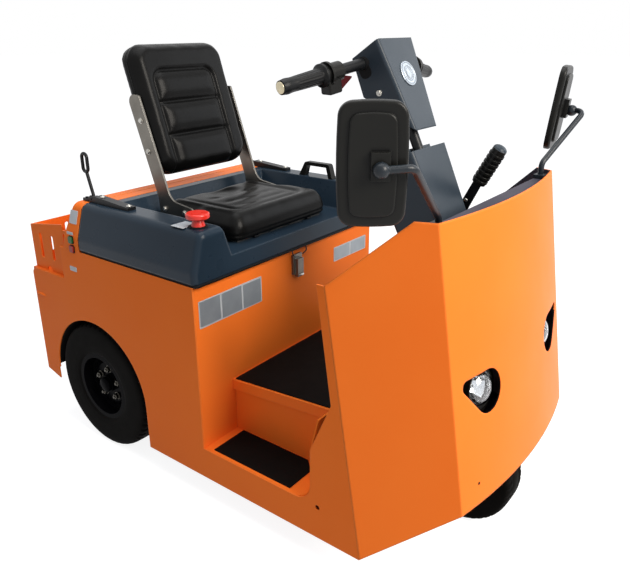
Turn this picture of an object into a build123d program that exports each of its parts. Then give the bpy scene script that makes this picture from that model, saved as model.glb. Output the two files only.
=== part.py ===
from build123d import *
import os
from math import atan, atan2, cos, degrees, hypot, radians, sin, sqrt, tan

os.makedirs("parts", exist_ok=True)

# Three-wheel sit-on airport baggage tug with a step-through floor.
# Sizes in mm. While modelling, x = 0 is the rear axle, x runs forward, y to the left, z up from
# the ground. The saved pieces are moved so that the origin is the bottom centre of the box.

# Whole machine
half_width = 410
sheet = 4
clearance = 0.3
skirt_z = 77
rear_x = -295
wheelbase = 1055

# Rear wheels
tyre_radius = 207.5
tyre_width = 106
rear_track_y = half_width - 55
rim_radius = tyre_radius / 2
rim_flange_radius = rim_radius + 10
tread_groove = 6
arch_radius = tyre_radius + 13.5

# Battery box and its side panels
box_front_x = 461
box_top_z = 650
rear_deck_z = box_top_z - 103
tail_front_x = -arch_radius - 7
sill_z = skirt_z + 95
tail_bottom_z = sill_z
upper_rear_x = -118

# Front apron
apron_rake = 8.8
apron_top_z = 907
apron_bottom_z = 252
fold_outer_x = wheelbase - 202
fold_inner_x = wheelbase + 36
fold_inner_y = half_width - 90
apron_bulge = 34
strip_top_z = apron_top_z - 153
strip_width = 20
apron_shoulder_x = wheelbase - 11

# Step-through
inner_wall_y = half_width - 135
fascia_y = half_width - 125
fascia_depth = 30
floor_rear_z = 337
floor_slope = 4.6
floor_front_x = wheelbase - 175
mat_thickness = 3
well_front_x = wheelbase - 219
opening_corner = 50

# Hood with the seat
hood_rear_x = -15
hood_front_x = box_front_x + 14
hood_top_z = box_top_z + 140
hood_bottom_z = box_top_z + 8
hood_wall = 5
hood_rounding = 26
bolster_top_outer_y = half_width - 30
bolster_top_inner_y = half_width - 98
bolster_foot_y = half_width - 134
shelf_z = hood_top_z - 84
hood_waist_z = box_top_z + 40
recess_rear_x = 94
hinge_y = half_width - 70
hinge_x = hood_rear_x - 3
hinge_z = hood_top_z + 8

# Seat
cushion_front_x = box_front_x - 29
cushion_rear_x = 132
cushion_half_width = half_width - 200
cushion_thickness = 68
back_half_width = half_width - 224
back_height = 376
back_thickness = 64
back_tilt = 18
back_x = 40
back_z = hood_top_z + 252
strap_width = 50
strap_thickness = 6
pan_thickness = 6

# Steering
column_rake = 25.5
joint_z = 580
steer_axis_x = wheelbase
front_tyre_radius = 145
front_tyre_width = 98
front_rim_radius = front_tyre_radius - 57
fork_crown_z = 2 * front_tyre_radius + 16
fork_leg_thickness = 10
kingpin_radius = 22
deck_z = fork_crown_z + 30
deck_thickness = 10
shaft_radius = 13

# Tow coupling
coupling_z = 330
coupling_reach = 115

panel_inner_y = half_width - sheet - clearance
rake_run = tan(radians(apron_rake))
apron_apex_x = fold_inner_x + apron_bulge + (apron_top_z - apron_bottom_z) * rake_run
x_mid = (apron_apex_x + rear_x - coupling_reach) / 2


def save(name, *solids):
    """Write one node, moved so that the origin is the bottom centre of the whole machine."""
    shape = Compound(children=list(solids)) if len(solids) > 1 else solids[0]
    export_step(Pos(-x_mid, 0, 0) * shape, f"parts/{name}.step")


def box(x0, x1, y0, y1, z0, z1):
    """A block between two corners."""
    size = Box(x1 - x0, y1 - y0, z1 - z0)
    return Pos((x0 + x1) / 2, (y0 + y1) / 2, (z0 + z1) / 2) * size


def rod(radius, start, end):
    """A round bar between two points."""
    path = Line(start, end)
    return extrude(Plane(origin=start, z_dir=path % 0) * Circle(radius), path.length)


def rounded_face(points):
    """A flat outline; where a point has a third value, its corner is rounded with that radius."""
    face = make_face(Polyline(*[point[:2] for point in points], close=True))
    for point in points:
        if len(point) == 3:
            corner = min(face.vertices(), key=lambda v: hypot(v.X - point[0], v.Y - point[1]))
            face = fillet(corner, point[2])
    return face


def xz_plate(points, y0, y1):
    """A plate with its outline in the side view, from y0 to y1."""
    plane = Plane(origin=(0, y1, 0), x_dir=(1, 0, 0), z_dir=(0, -1, 0))
    return extrude(plane * rounded_face(points), y1 - y0)


def yz_prism(points, x0, x1):
    """A bar with its outline seen from behind, from x0 to x1."""
    plane = Plane(origin=(x0, 0, 0), x_dir=(0, 1, 0), z_dir=(1, 0, 0))
    return extrude(plane * rounded_face(points), x1 - x0)


def both_sides(solid):
    """The piece and its mirror image on the other side of the centreline."""
    return solid, mirror(solid, Plane.XZ)


def fold_outer_at(z):
    """Where the fold between side strip and apron lies at height z."""
    return fold_outer_x + (apron_top_z - z) * rake_run


# Side panels: one sheet each with the wheel arch, the sill and the strip that joins the apron
opening_knee_z = sill_z + 154
opening_top_z = sill_z + 297
side_outline = [
    (rear_x, tail_bottom_z + 11), (rear_x, rear_deck_z, 22), (upper_rear_x, rear_deck_z),
    (upper_rear_x, box_top_z), (box_front_x, box_top_z), (box_front_x, sill_z),
    (well_front_x, sill_z, opening_corner), (well_front_x, opening_knee_z),
    (well_front_x + 61, opening_top_z),
    (fold_outer_at(strip_top_z) - strip_width, strip_top_z), (fold_outer_at(strip_top_z), strip_top_z),
    (fold_outer_at(skirt_z), skirt_z), (tail_front_x, skirt_z), (tail_front_x, tail_bottom_z - 8),
]
side = xz_plate(side_outline, half_width - sheet, half_width)
arch = Pos(0, half_width, tyre_radius) * Rot(90, 0, 0) * Cylinder(arch_radius, 3 * sheet)
arch += box(tail_front_x, arch_radius, half_width - 2 * sheet, half_width + sheet, skirt_z - 1, tyre_radius)
lashing_hole_x = wheelbase - 198
lashing_hole_z = skirt_z + 92
lashing_hole_radius = 7
hole = Pos(lashing_hole_x, half_width, lashing_hole_z) * Rot(90, 0, 0) * Cylinder(lashing_hole_radius, 30)
left_side, right_side = both_sides(side - arch - hole)
save("side_panel_left", left_side)
save("side_panel_right", right_side)


# Apron: chamfer, bulged front and chamfer bent from one sheet, raked forward towards the ground
def apron_section(inset, base_z):
    """Plan outline of the space inside the apron's outer face, moved in by inset, at base_z."""
    shift = (apron_top_z - base_z) * rake_run
    radius = (fold_inner_y ** 2 + apron_bulge ** 2) / (2 * apron_bulge)
    centre_x = fold_inner_x + apron_bulge - radius
    lean = atan2(half_width - fold_inner_y, fold_inner_x - fold_outer_x)
    outer_y = half_width - inset / cos(lean)
    r = radius - inset
    x = fold_inner_x
    for _ in range(20):
        y = outer_y - (x - fold_outer_x) * tan(lean)
        x = centre_x + sqrt(r * r - y * y)
    left = (fold_outer_x + shift, outer_y)
    fold = (x + shift, y)
    apex = (centre_x + r + shift, 0)
    edges = [
        Line(left, fold),
        ThreePointArc(fold, apex, (fold[0], -fold[1])),
        Line((fold[0], -fold[1]), (left[0], -left[1])),
        Line((left[0], -left[1]), left),
    ]
    return Pos(0, 0, base_z) * make_face(edges)


def apron_space(inset, z0, z1):
    """The raked space inside the apron between two heights."""
    height = z1 - z0
    direction = Vector(-height * rake_run, 0, height)
    return Solid.extrude(apron_section(inset, z0).face(), direction)


apron_keep = xz_plate(
    [(fold_outer_x - 20, skirt_z), (fold_outer_at(skirt_z), skirt_z),
     (fold_inner_x + (apron_top_z - apron_bottom_z) * rake_run, apron_bottom_z),
     (apron_apex_x + 40, apron_bottom_z), (apron_apex_x + 40, apron_top_z),
     (apron_shoulder_x, apron_top_z), (fold_outer_at(strip_top_z), strip_top_z),
     (fold_outer_x - 20, strip_top_z)],
    -half_width - 1, half_width + 1)
apron = (apron_space(0, skirt_z, apron_top_z) - apron_space(sheet, skirt_z, apron_top_z)) & apron_keep
opening_y = half_width - 219
opening_z = 505
opening_radius = 51
tail_y = opening_y + 80
tail_z = opening_z + 38
tail_radius = 15


def lamp_opening(side_sign):
    """Teardrop opening: a big circle joined by its tangents to a small one further out."""
    dy = side_sign * (tail_y - opening_y)
    dz = tail_z - opening_z
    length = hypot(dy, dz)
    spread = atan((opening_radius - tail_radius) / length)
    c, s = cos(spread), sin(spread)
    big = opening_radius
    small = tail_radius
    upper = Line((big * s, big * c), (length + small * s, small * c))
    lower = Line((length + small * s, -small * c), (big * s, -big * c))
    outer = ThreePointArc((length + small * s, small * c), (length + small, 0),
                          (length + small * s, -small * c))
    inner = ThreePointArc((big * s, -big * c), (-big, 0), (big * s, big * c))
    plane = Plane(origin=(wheelbase, side_sign * opening_y, opening_z), x_dir=(0, 1, 0), z_dir=(1, 0, 0))
    return extrude(plane * Rot(0, 0, degrees(atan2(dz, dy))) * make_face([upper, outer, lower, inner]), 300)


save("apron", apron - lamp_opening(-1) - lamp_opening(1))

# Inner panel behind the apron: dash shelf, kick board and the floor joint
dash_top_z = apron_top_z - 17
dash_line = ((wheelbase + 75, dash_top_z), (wheelbase + 5, dash_top_z), (wheelbase - 19, dash_top_z - 250),
             (floor_front_x + 6, dash_top_z - 514))


def bent_strip(points, thickness):
    """Side outline of a bent sheet that lies under or in front of the line of points."""
    offset = []
    for i, (x, z, *radius) in enumerate(points):
        normals = []
        for a, b in zip(points[max(i - 1, 0):i + 1], points[max(i - 1, 0) + 1:i + 2]):
            length = hypot(b[0] - a[0], b[1] - a[1])
            normals.append((-(b[1] - a[1]) / length, (b[0] - a[0]) / length))
        nx = sum(n[0] for n in normals) / len(normals)
        nz = sum(n[1] for n in normals) / len(normals)
        scale = thickness / (nx * nx + nz * nz)
        offset.append((x + nx * scale, z + nz * scale, *[r - thickness for r in radius]))
    return list(points) + offset[::-1]


inner_gap = sheet + clearance
dash = xz_plate(bent_strip(dash_line, sheet), -half_width + 1, half_width - 1)
dash &= apron_space(inner_gap, deck_z + sheet, apron_top_z)
save("dash_panel", dash)

# Front deck inside the apron, which carries the kingpin bearing
deck = apron_space(inner_gap, deck_z, deck_z + deck_thickness)
deck -= box(0, floor_front_x + 8, -2 * half_width, 2 * half_width, 0, apron_top_z)
bearing_radius = 38
bearing_height = 60
gusset_reach = 46
bearing = Pos(steer_axis_x, 0, deck_z + bearing_height / 2) * Cylinder(bearing_radius, bearing_height)
bore = Pos(steer_axis_x, 0, deck_z) * Cylinder(kingpin_radius + clearance, 4 * bearing_height)
for gusset_turn in (45, 135, 225, 315):
    gusset = xz_plate([(bearing_radius - 4, deck_z + 2), (bearing_radius + gusset_reach, deck_z + 2),
                       (bearing_radius + gusset_reach, deck_z + deck_thickness + 4),
                       (bearing_radius - 4, deck_z + bearing_height - 8)], -4, 4)
    bearing += Pos(steer_axis_x, 0, 0) * Rot(0, 0, gusset_turn) * gusset
save("front_deck", (deck + bearing) - bore)

# Battery box front wall, from the sill to the hood
save("box_front_wall", box(box_front_x - sheet, box_front_x, -panel_inner_y, panel_inner_y, sill_z - sheet,
                           box_top_z))


# Floor with its folded fascia lips and the walls of the two step wells
def floor_z(x):
    """Height of the floor's top face."""
    return floor_rear_z - mat_thickness + (x - box_front_x) * tan(radians(floor_slope))


floor_start_x = box_front_x + clearance


def under_floor(depth):
    """Side outline of a strip under the floor's top face, depth tall."""
    x0, x1 = floor_start_x, floor_front_x
    return [(x0, floor_z(x0)), (x1, floor_z(x1)), (x1, floor_z(x1) - depth), (x0, floor_z(x0) - depth)]


floor = xz_plate(under_floor(sheet), -fascia_y, fascia_y)
wall_outline = [(floor_start_x, floor_z(floor_start_x) - 1), (well_front_x, floor_z(well_front_x) - 1),
                (well_front_x, sill_z - sheet), (floor_start_x, sill_z - sheet)]
for y0 in (-fascia_y, fascia_y - sheet):
    floor += xz_plate(under_floor(fascia_depth), y0, y0 + sheet)
for y0 in (-inner_wall_y, inner_wall_y - sheet):
    floor += xz_plate(wall_outline, y0, y0 + sheet)
save("floor_pan", floor)

# Steps: the sheet in the bottom of each well, curved up at its front end
step_line = ((floor_start_x, sill_z), (well_front_x - sheet, sill_z, opening_corner),
             (well_front_x - sheet, opening_knee_z - 4), (well_front_x + 19, opening_top_z - 54))
step_y0 = inner_wall_y + clearance
step = xz_plate(bent_strip(step_line, -sheet), step_y0, panel_inner_y)
fascia_cut_x = well_front_x - 40
step -= box(fascia_cut_x, wheelbase, 0, fascia_y + clearance,
            floor_z(fascia_cut_x) - fascia_depth - clearance, apron_top_z)
save("steps", *both_sides(step))

# Rubber mats on the floor and in the steps
mat_margin = 7
mat_front_x = floor_front_x - 20
mat_rear_x = floor_start_x + 6
floor_mat = xz_plate([(mat_rear_x, floor_z(mat_rear_x) + mat_thickness),
                      (mat_front_x, floor_z(mat_front_x) + mat_thickness),
                      (mat_front_x, floor_z(mat_front_x)), (mat_rear_x, floor_z(mat_rear_x))],
                     -fascia_y + mat_margin, fascia_y - mat_margin)
step_mat_x0 = box_front_x + 29
step_mat_x1 = well_front_x - 76
step_mat_y0 = step_y0 + 4
step_mat_y1 = half_width - 13
cut_corner = 32
step_mat_face = rounded_face([(step_mat_x0, step_mat_y0), (step_mat_x1 - cut_corner, step_mat_y0),
                              (step_mat_x1, step_mat_y0 + cut_corner), (step_mat_x1, step_mat_y1),
                              (step_mat_x0, step_mat_y1)])
step_mat = extrude(Pos(0, 0, sill_z) * step_mat_face, mat_thickness)
save("floor_mats", floor_mat, *both_sides(step_mat))

# Rear panel across the tail, and rear deck
rear_panel = box(rear_x, rear_x + sheet, -panel_inner_y, panel_inner_y, tail_bottom_z + 11, rear_deck_z)
rear_panel += box(rear_x, upper_rear_x, -panel_inner_y, panel_inner_y, rear_deck_z - sheet, rear_deck_z)
save("rear_panel", rear_panel)

# Rear bulkhead: the fixed arch behind the hood, with the hood's own outline
bulkhead_front_x = hood_rear_x - 5
bulkhead_rear_x = upper_rear_x + 22
bulkhead_bottom_z = box_top_z + clearance
bulkhead_lean = 40


def hood_outline(inset, bottom_z):
    """Cross outline of hood and bulkhead as seen from behind, moved in by inset."""
    points = [(half_width - inset, bottom_z), (half_width - inset, hood_waist_z, 40),
              (bolster_top_outer_y - inset, hood_top_z - inset, hood_rounding - inset / 2)]
    return points + [(-point[0], *point[1:]) for point in reversed(points)]


def rear_lean_x(z):
    """Length position of the bulkhead's rear face, which leans forward to the top."""
    share = (z - bulkhead_bottom_z) / (hood_top_z - bulkhead_bottom_z)
    return bulkhead_rear_x + bulkhead_lean * share


def bulkhead_form(inset, bottom_z):
    """The bulkhead's outer form moved in by inset."""
    form = yz_prism(hood_outline(inset, bottom_z), bulkhead_rear_x + inset, bulkhead_front_x - inset)
    high_z = hood_top_z + 20
    behind = [(bulkhead_rear_x - 20, bulkhead_bottom_z), (bulkhead_rear_x - 20, high_z),
              (rear_lean_x(high_z) + inset, high_z), (bulkhead_rear_x + inset, bulkhead_bottom_z)]
    return form - xz_plate(behind, -half_width - 20, half_width + 20)


bulkhead = bulkhead_form(0, bulkhead_bottom_z) - bulkhead_form(sheet, bulkhead_bottom_z - 1)
bulkhead += box(bulkhead_rear_x, bulkhead_rear_x + sheet, -panel_inner_y, panel_inner_y,
                rear_deck_z + clearance, bulkhead_bottom_z)
save("rear_bulkhead", bulkhead)

# Slotted guard around the coupling's upper end, on the rear deck
guard_y = half_width - 14
guard_x = rear_x + 4
guard_front_x = bulkhead_rear_x - 20
guard_top_rear_z = rear_deck_z + 141
guard_top_front_z = rear_deck_z + 167
guard_z0 = rear_deck_z + clearance
guard_side = xz_plate([(guard_x, guard_z0), (guard_x, guard_top_rear_z), (guard_front_x, guard_top_front_z),
                       (guard_front_x, guard_z0)], guard_y - sheet, guard_y)
link_z = rear_deck_z + 138
guard_side += box(guard_front_x - 1, rear_lean_x(link_z) - clearance, guard_y - sheet, guard_y, link_z,
                  link_z + 12)
slot_half = 7
slot_z0 = rear_deck_z + 45
slot_height = 68
for slot_x in (rear_x + 52, rear_x + 113):
    slot = box(slot_x - slot_half, slot_x + slot_half, guard_y - 10, guard_y + 10, slot_z0,
               slot_z0 + slot_height)
    for z in (slot_z0, slot_z0 + slot_height):
        slot += Pos(slot_x, guard_y, z) * Rot(90, 0, 0) * Cylinder(slot_half, 20)
    guard_side -= slot
notch = Pos(rear_x + 80, guard_y, rear_deck_z) * Rot(90, 0, 0) * Cylinder(14, 20)
guard_left, guard_right = both_sides(guard_side - notch)
guard_rear = box(guard_x, guard_x + sheet, -guard_y, guard_y, guard_z0, guard_top_rear_z)
for slot_y in (guard_y - 62, guard_y - 123):
    slot = box(guard_x - 5, guard_x + 10, slot_y - slot_half, slot_y + slot_half, slot_z0,
               slot_z0 + slot_height)
    for z in (slot_z0, slot_z0 + slot_height):
        slot += rod(slot_half, (guard_x - 5, slot_y, z), (guard_x + 10, slot_y, z))
    for opening in both_sides(slot):
        guard_rear -= opening
save("rear_guard", guard_left + guard_right + guard_rear)

# Wheel houses: inner wall and curved roof over each rear wheel
house_inner_y = fascia_y
roof_end_z = tyre_radius + 12
house_top_z = box_top_z - 110


def arch_arc(radius):
    """Half circle of the wheel arch from front to rear, cut off level at the roof's ends."""
    reach = sqrt(radius ** 2 - (roof_end_z - tyre_radius) ** 2)
    return ThreePointArc((reach, roof_end_z), (0, tyre_radius + radius), (-reach, roof_end_z))


outer_arc = arch_arc(arch_radius + sheet)
inner_arc = arch_arc(arch_radius)
roof_face = make_face([outer_arc, Line(outer_arc @ 1, inner_arc @ 1), inner_arc,
                       Line(inner_arc @ 0, outer_arc @ 0)])
roof_plane = Plane(origin=(0, panel_inner_y, 0), x_dir=(1, 0, 0), z_dir=(0, -1, 0))
roof = extrude(roof_plane * roof_face, panel_inner_y - (house_inner_y - sheet))
house_front_x = box_front_x - sheet - clearance
house_wall = box(tail_front_x, house_front_x, house_inner_y - sheet, house_inner_y, skirt_z + 43, house_top_z)
axle_hole_radius = 60
axle_hole = Pos(0, house_inner_y, tyre_radius) * Rot(90, 0, 0) * Cylinder(axle_hole_radius, 40)
save("wheel_houses", *both_sides(roof + house_wall - axle_hole))

# Battery and its tray between the wheel houses
tray_z = tyre_radius + 137.5
tray_thickness = 6
battery_half_width = half_width - 148
battery_x0 = -60
battery_x1 = box_front_x - 21
battery_height = 270
tray = box(battery_x0 - 8, house_front_x, -house_inner_y + sheet, house_inner_y - sheet,
           tray_z - tray_thickness, tray_z)
save("battery_tray", tray)
battery = box(battery_x0, battery_x1, -battery_half_width, battery_half_width, tray_z + clearance,
              tray_z + battery_height)
save("battery", chamfer(battery.edges().filter_by(Axis.Z), 12))

# Rear drive axle: centre housing, tubes and motor
hub_back = tyre_width / 2 - 1
axle_tube_radius = 42
hub_flange_y = rear_track_y - hub_back - clearance
housing_y = -60
housing_radius = 98
sleeve_radius = axle_tube_radius + 10
sleeve_y = half_width - 230
bowl_reach = sqrt(housing_radius ** 2 - sleeve_radius ** 2)
bowl_start = (housing_y - bowl_reach, sleeve_radius)
bowl_end = (housing_y + bowl_reach, sleeve_radius)
axle_section = make_face([
    Polyline((-hub_flange_y, 0), (-hub_flange_y, axle_tube_radius), (-sleeve_y, axle_tube_radius),
             (-sleeve_y, sleeve_radius), bowl_start),
    ThreePointArc(bowl_start, (housing_y, housing_radius), bowl_end),
    Polyline(bowl_end, (sleeve_y, sleeve_radius), (sleeve_y, axle_tube_radius),
             (hub_flange_y, axle_tube_radius), (hub_flange_y, 0), (-hub_flange_y, 0)),
])
axle = Pos(0, 0, tyre_radius) * Rot(0, 0, 90) * revolve(axle_section, Axis.X)
motor_radius = 72
axle += rod(motor_radius, (40, housing_y, tyre_radius), (250, housing_y, tyre_radius))
axle_seat_y = half_width - 220
for seat_y in (-axle_seat_y, axle_seat_y):
    axle += box(-45, 45, seat_y - 30, seat_y + 30, tyre_radius, tray_z - tray_thickness - clearance)
save("rear_axle", axle)


# Rear wheels
def tyre_profile(radius, width, bead_radius, bead_half, groove, shoulder):
    """Section of a tyre with two grooves as (across, outward) points."""
    half = width / 2
    wall = bead_radius + (radius - bead_radius) * 0.42
    rib = half * 0.3
    right = [(rib - 3, radius), (rib - 2, radius - groove), (rib + 2, radius - groove), (rib + 3, radius),
             (half - 1.45 * shoulder, radius - shoulder / 11), (half - shoulder / 2.3, radius - shoulder),
             (half, wall), (bead_half, bead_radius + 12), (bead_half, bead_radius)]
    return [(-u, v) for u, v in reversed(right)] + right


def turned(points):
    """Revolve a section of (across, outward) points about the wheel's own axis."""
    return revolve(make_face(Polyline(*points, close=True)), Axis.X)


def wheel_place(solid, x, y, z, side_sign):
    """Put a turned wheel piece, whose outer side is +across, on its axle."""
    return Pos(x, y * side_sign, z) * Rot(0, 0, 90 * side_sign) * solid


rim_half = tyre_width / 2 - 9
rear_tyre = turned(tyre_profile(tyre_radius, tyre_width, rim_radius + clearance, rim_half - clearance,
                                tread_groove, 11))
disc_u = 4
boss_u = disc_u + 14
well_radius = rim_radius - 12
rim = turned([(-rim_half, rim_radius - 6), (-rim_half, rim_radius), (rim_half, rim_radius),
              (rim_half, rim_radius - 6), (disc_u + 10, well_radius), (disc_u + 8, well_radius - 10),
              (boss_u, 66), (boss_u, 0), (disc_u + 6, 0), (disc_u + 6, 62), (disc_u, well_radius - 10),
              (disc_u, well_radius), (8 - rim_half, rim_radius - 6)])
for side_sign in (-1, 1):
    lip_in = side_sign * rim_half
    lip_out = lip_in + 5 * side_sign
    rim += turned([(lip_in, rim_radius - 8), (lip_out, rim_radius - 8), (lip_out, rim_flange_radius),
                   (lip_in, rim_flange_radius - 4)])
hub_radius = 28
rim += Pos(boss_u + 6, 0, 0) * Rot(0, 90, 0) * Cylinder(hub_radius, 16)
rim += Pos((boss_u - hub_back) / 2, 0, 0) * Rot(0, 90, 0) * Cylinder(48, boss_u + hub_back)
nut_circle = 48
vent_circle = 80
for nut in range(5):
    angle = radians(72 * nut + 18)
    place = Pos(boss_u - 1, nut_circle * cos(angle), nut_circle * sin(angle)) * Rot(0, 90, 0)
    rim += place * extrude(RegularPolygon(9, 6), 11)
    angle += radians(36)
    rim -= Pos(disc_u, vent_circle * cos(angle), vent_circle * sin(angle)) * Rot(0, 90, 0) * Cylinder(6, 40)
for name, side_sign in (("right", -1), ("left", 1)):
    save(f"rear_tyre_{name}", wheel_place(rear_tyre, 0, rear_track_y, tyre_radius, side_sign))
    save(f"rear_rim_{name}", wheel_place(rim, 0, rear_track_y, tyre_radius, side_sign))

# Front wheel and fork
front_rim_half = front_tyre_width / 2 - 9
front_tyre = turned(tyre_profile(front_tyre_radius, front_tyre_width, front_rim_radius + clearance,
                                 front_rim_half, tread_groove - 2, 5))
front_rim = turned([(-front_rim_half, 40), (-front_rim_half, front_rim_radius),
                    (front_rim_half, front_rim_radius), (front_rim_half, 40), (front_rim_half + 4, 40),
                    (front_rim_half + 4, 0), (-front_rim_half - 4, 0), (-front_rim_half - 4, 40)])
save("front_tyre", wheel_place(front_tyre, steer_axis_x, 0, front_tyre_radius, 1))
save("front_rim", wheel_place(front_rim, steer_axis_x, 0, front_tyre_radius, 1))
leg_y = front_tyre_width / 2 + 10
leg_outer_y = leg_y + fork_leg_thickness
crown_top_z = fork_crown_z + 10
kingpin_top_z = deck_z + 94
leg = xz_plate([(steer_axis_x - 26, front_tyre_radius - 24), (steer_axis_x + 26, front_tyre_radius - 24),
                (steer_axis_x + 45, fork_crown_z), (steer_axis_x - 45, fork_crown_z)], leg_y, leg_outer_y)
axle_boss = rod(24, (steer_axis_x, front_rim_half + 4 + clearance, front_tyre_radius),
                (steer_axis_x, leg_outer_y + 6, front_tyre_radius))
fork = box(steer_axis_x - 50, steer_axis_x + 50, -leg_outer_y, leg_outer_y, fork_crown_z - 4, crown_top_z)
for piece in (*both_sides(leg), *both_sides(axle_boss)):
    fork += piece
fork += rod(kingpin_radius, (steer_axis_x, 0, fork_crown_z), (steer_axis_x, 0, kingpin_top_z))
fork += rod(bearing_radius, (steer_axis_x, 0, fork_crown_z), (steer_axis_x, 0, deck_z - 1))
save("front_fork", fork)


# Steering column, all placed along its leaning axis
rake = radians(column_rake)
axis_dir = (-sin(rake), 0, cos(rake))
forward_dir = (cos(rake), 0, sin(rake))


def on_axis(along, forward=0, y=0):
    """Point at a distance along the column from its foot joint, moved forward and sideways."""
    return (steer_axis_x + along * axis_dir[0] + forward * forward_dir[0], y,
            joint_z + along * axis_dir[2] + forward * forward_dir[2])


def column_plane(along=0):
    """Plane across the column: local x forward, local y to the left, z up the column."""
    return Plane(origin=on_axis(along), x_dir=forward_dir, z_dir=axis_dir)


cover_foot = -60
cover_top = 444
cover_step = 12
cover_front = 31
cover_step_x = -shaft_radius - 2
cover_rear = -96
cover_foot_half = 60
cover_top_half = 87


def cover_half_at(along):
    """Half width of the tapered cover at a distance along the column."""
    return cover_foot_half + (cover_top_half - cover_foot_half) * (along - cover_foot) / (
        cover_top - cover_foot)


def cover_form(inset, start):
    """The cover's form moved in by inset, upright, with the higher rear part and its step."""
    top = cover_top + cover_step - inset
    outline = [(cover_half_at(start) - inset, start), (cover_half_at(top) - inset, top)]
    outline += [(-y, z) for y, z in reversed(outline)]
    form = yz_prism(outline, cover_rear + inset, cover_front - inset)
    form = fillet(form.edges().filter_by(lambda e: abs((e % 0.5).Z) > 0.9), 12 - inset)
    return form - box(cover_step_x - inset, half_width, -half_width, half_width, top - cover_step, 2 * top)


cover = column_plane() * (cover_form(0, cover_foot) - cover_form(sheet, cover_foot - 20))
cover -= extrude(column_plane(cover_top - 30) * Circle(shaft_radius + clearance), 60)
far_x = 2 * wheelbase
behind_dash = xz_plate([(dash_line[0][0], far_x), (dash_line[1][0], far_x), *dash_line[1:],
                        (dash_line[3][0], 0), (far_x, 0), (far_x, far_x)], -half_width, half_width)
save("column_cover", cover - Pos(-2 * clearance, 0, 2 * clearance) * behind_dash)

# Steering head: a closed housing, wider towards its top, on the shaft that comes out of the cover
head_bottom = 487
head_rear_bottom = 610
head_rear_top = 702
head_top = 714
head_front = 41
head_rear_low = -55
head_rear_high = -42
head_bottom_half = 55
head_top_half = 81
head_side = xz_plate([(head_front, head_bottom), (head_front, head_top), (head_rear_high, head_rear_top),
                      (head_rear_low, head_rear_bottom)], -half_width, half_width)
head_face = yz_prism([(head_bottom_half, head_bottom), (head_top_half, head_top),
                      (-head_top_half, head_top), (-head_bottom_half, head_bottom)], -half_width, half_width)
head = head_side & head_face
long_edges = head.edges().filter_by(lambda e: abs((e % 0.5).Z) > 0.9).group_by(Axis.X)[-1]
head = column_plane() * fillet(long_edges, 9)
save("steering_head", head)
shaft_start = cover_top - 50
shaft_end = head_rear_bottom
shaft = extrude(column_plane(shaft_start) * Circle(shaft_radius), shaft_end - shaft_start)
shaft -= Pos(-clearance * axis_dir[0], 0, -clearance * axis_dir[2]) * head
head_cut = extrude(column_plane(head_rear_bottom - 1) * Circle(2 * shaft_radius), 200)
collar = extrude(column_plane(shaft_start) * Circle(shaft_radius + 10), 14)
save("steering_shaft", (shaft - head_cut) + collar)

# Handlebar, swept back and a little down, with its grips
bar_radius = 13
bar_root = Vector(*on_axis(681, -18, 70))
bar_end = Vector(wheelbase - 355, half_width - 92, joint_z + 566)
bar_unit = (bar_end - bar_root).normalized()
bar_length = (bar_end - bar_root).length


def along_bar(distance, drop=0):
    """Point on the left half of the bar, measured back from its end, and lowered by drop."""
    return tuple(bar_root + bar_unit * (bar_length - distance) - Vector(0, 0, drop))


bars = [piece - head for piece in both_sides(rod(bar_radius, along_bar(bar_length), along_bar(0)))]
save("handlebar", *bars)
grip_length = 116
grip_radius = 16
grip_root_radius = 19
flange_radius = 27
on_base = (Align.CENTER, Align.CENTER, Align.MIN)
grip_axis = Plane(origin=along_bar(grip_length), z_dir=bar_unit)
grip = grip_axis * Cone(grip_root_radius, grip_radius, grip_length, align=on_base)
grip += rod(grip_radius, along_bar(1), along_bar(-8))
grip += rod(flange_radius, along_bar(grip_length), along_bar(grip_length - 6))
grip -= rod(bar_radius + clearance, along_bar(grip_length + 1), along_bar(-clearance))
save("handlebar_grips", *both_sides(grip))
switch_start = grip_length + 1
switch_end = grip_length + 52
switch = rod(22, along_bar(switch_end), along_bar(switch_start))
switch += rod(flange_radius + 1, along_bar(switch_start + 16), along_bar(switch_start + 9))
thumb_box = Plane(origin=along_bar(switch_start + 27, 28), z_dir=bar_unit) * Box(34, 36, 40)
switch += fillet(thumb_box.edges(), 5)
switch -= rod(bar_radius + clearance, along_bar(bar_length), along_bar(0))
save("switch_blocks", *both_sides(switch))


# Hood: moulded shell with a bolster at each side, a rear deck and the seat recess
def hood_form(inset, bottom_z):
    """The hood's outer form moved in by inset, with its seat recess taken out."""
    form = yz_prism(hood_outline(inset, bottom_z), hood_rear_x + inset, hood_front_x - inset)
    front_edges = form.faces().sort_by(Axis.X)[-1].edges().sort_by(Axis.Z)[1:]
    form = fillet(front_edges, 18 - inset)
    levels = []
    for z, half_y, rear in ((shelf_z - inset, bolster_foot_y + inset, recess_rear_x - inset),
                            (hood_top_z + 20, bolster_top_inner_y + inset, recess_rear_x - 40 - inset)):
        length = hood_front_x + 40 - rear
        levels.append(Pos(rear + length / 2, 0, z) * Rectangle(length, 2 * half_y))
    return form - loft(levels, ruled=True)


hood = hood_form(0, hood_bottom_z) - hood_form(hood_wall, hood_bottom_z - 20)
seal_width = 5
seal_y = half_width - 3
seal = box(hood_rear_x + 3, box_front_x, -seal_y, seal_y, box_top_z + clearance, hood_bottom_z + 8)
seal -= box(hood_rear_x + 3 + seal_width, box_front_x - seal_width, seal_width - seal_y, seal_y - seal_width,
            0, hood_top_z)
save("hood", hood + seal)

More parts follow.
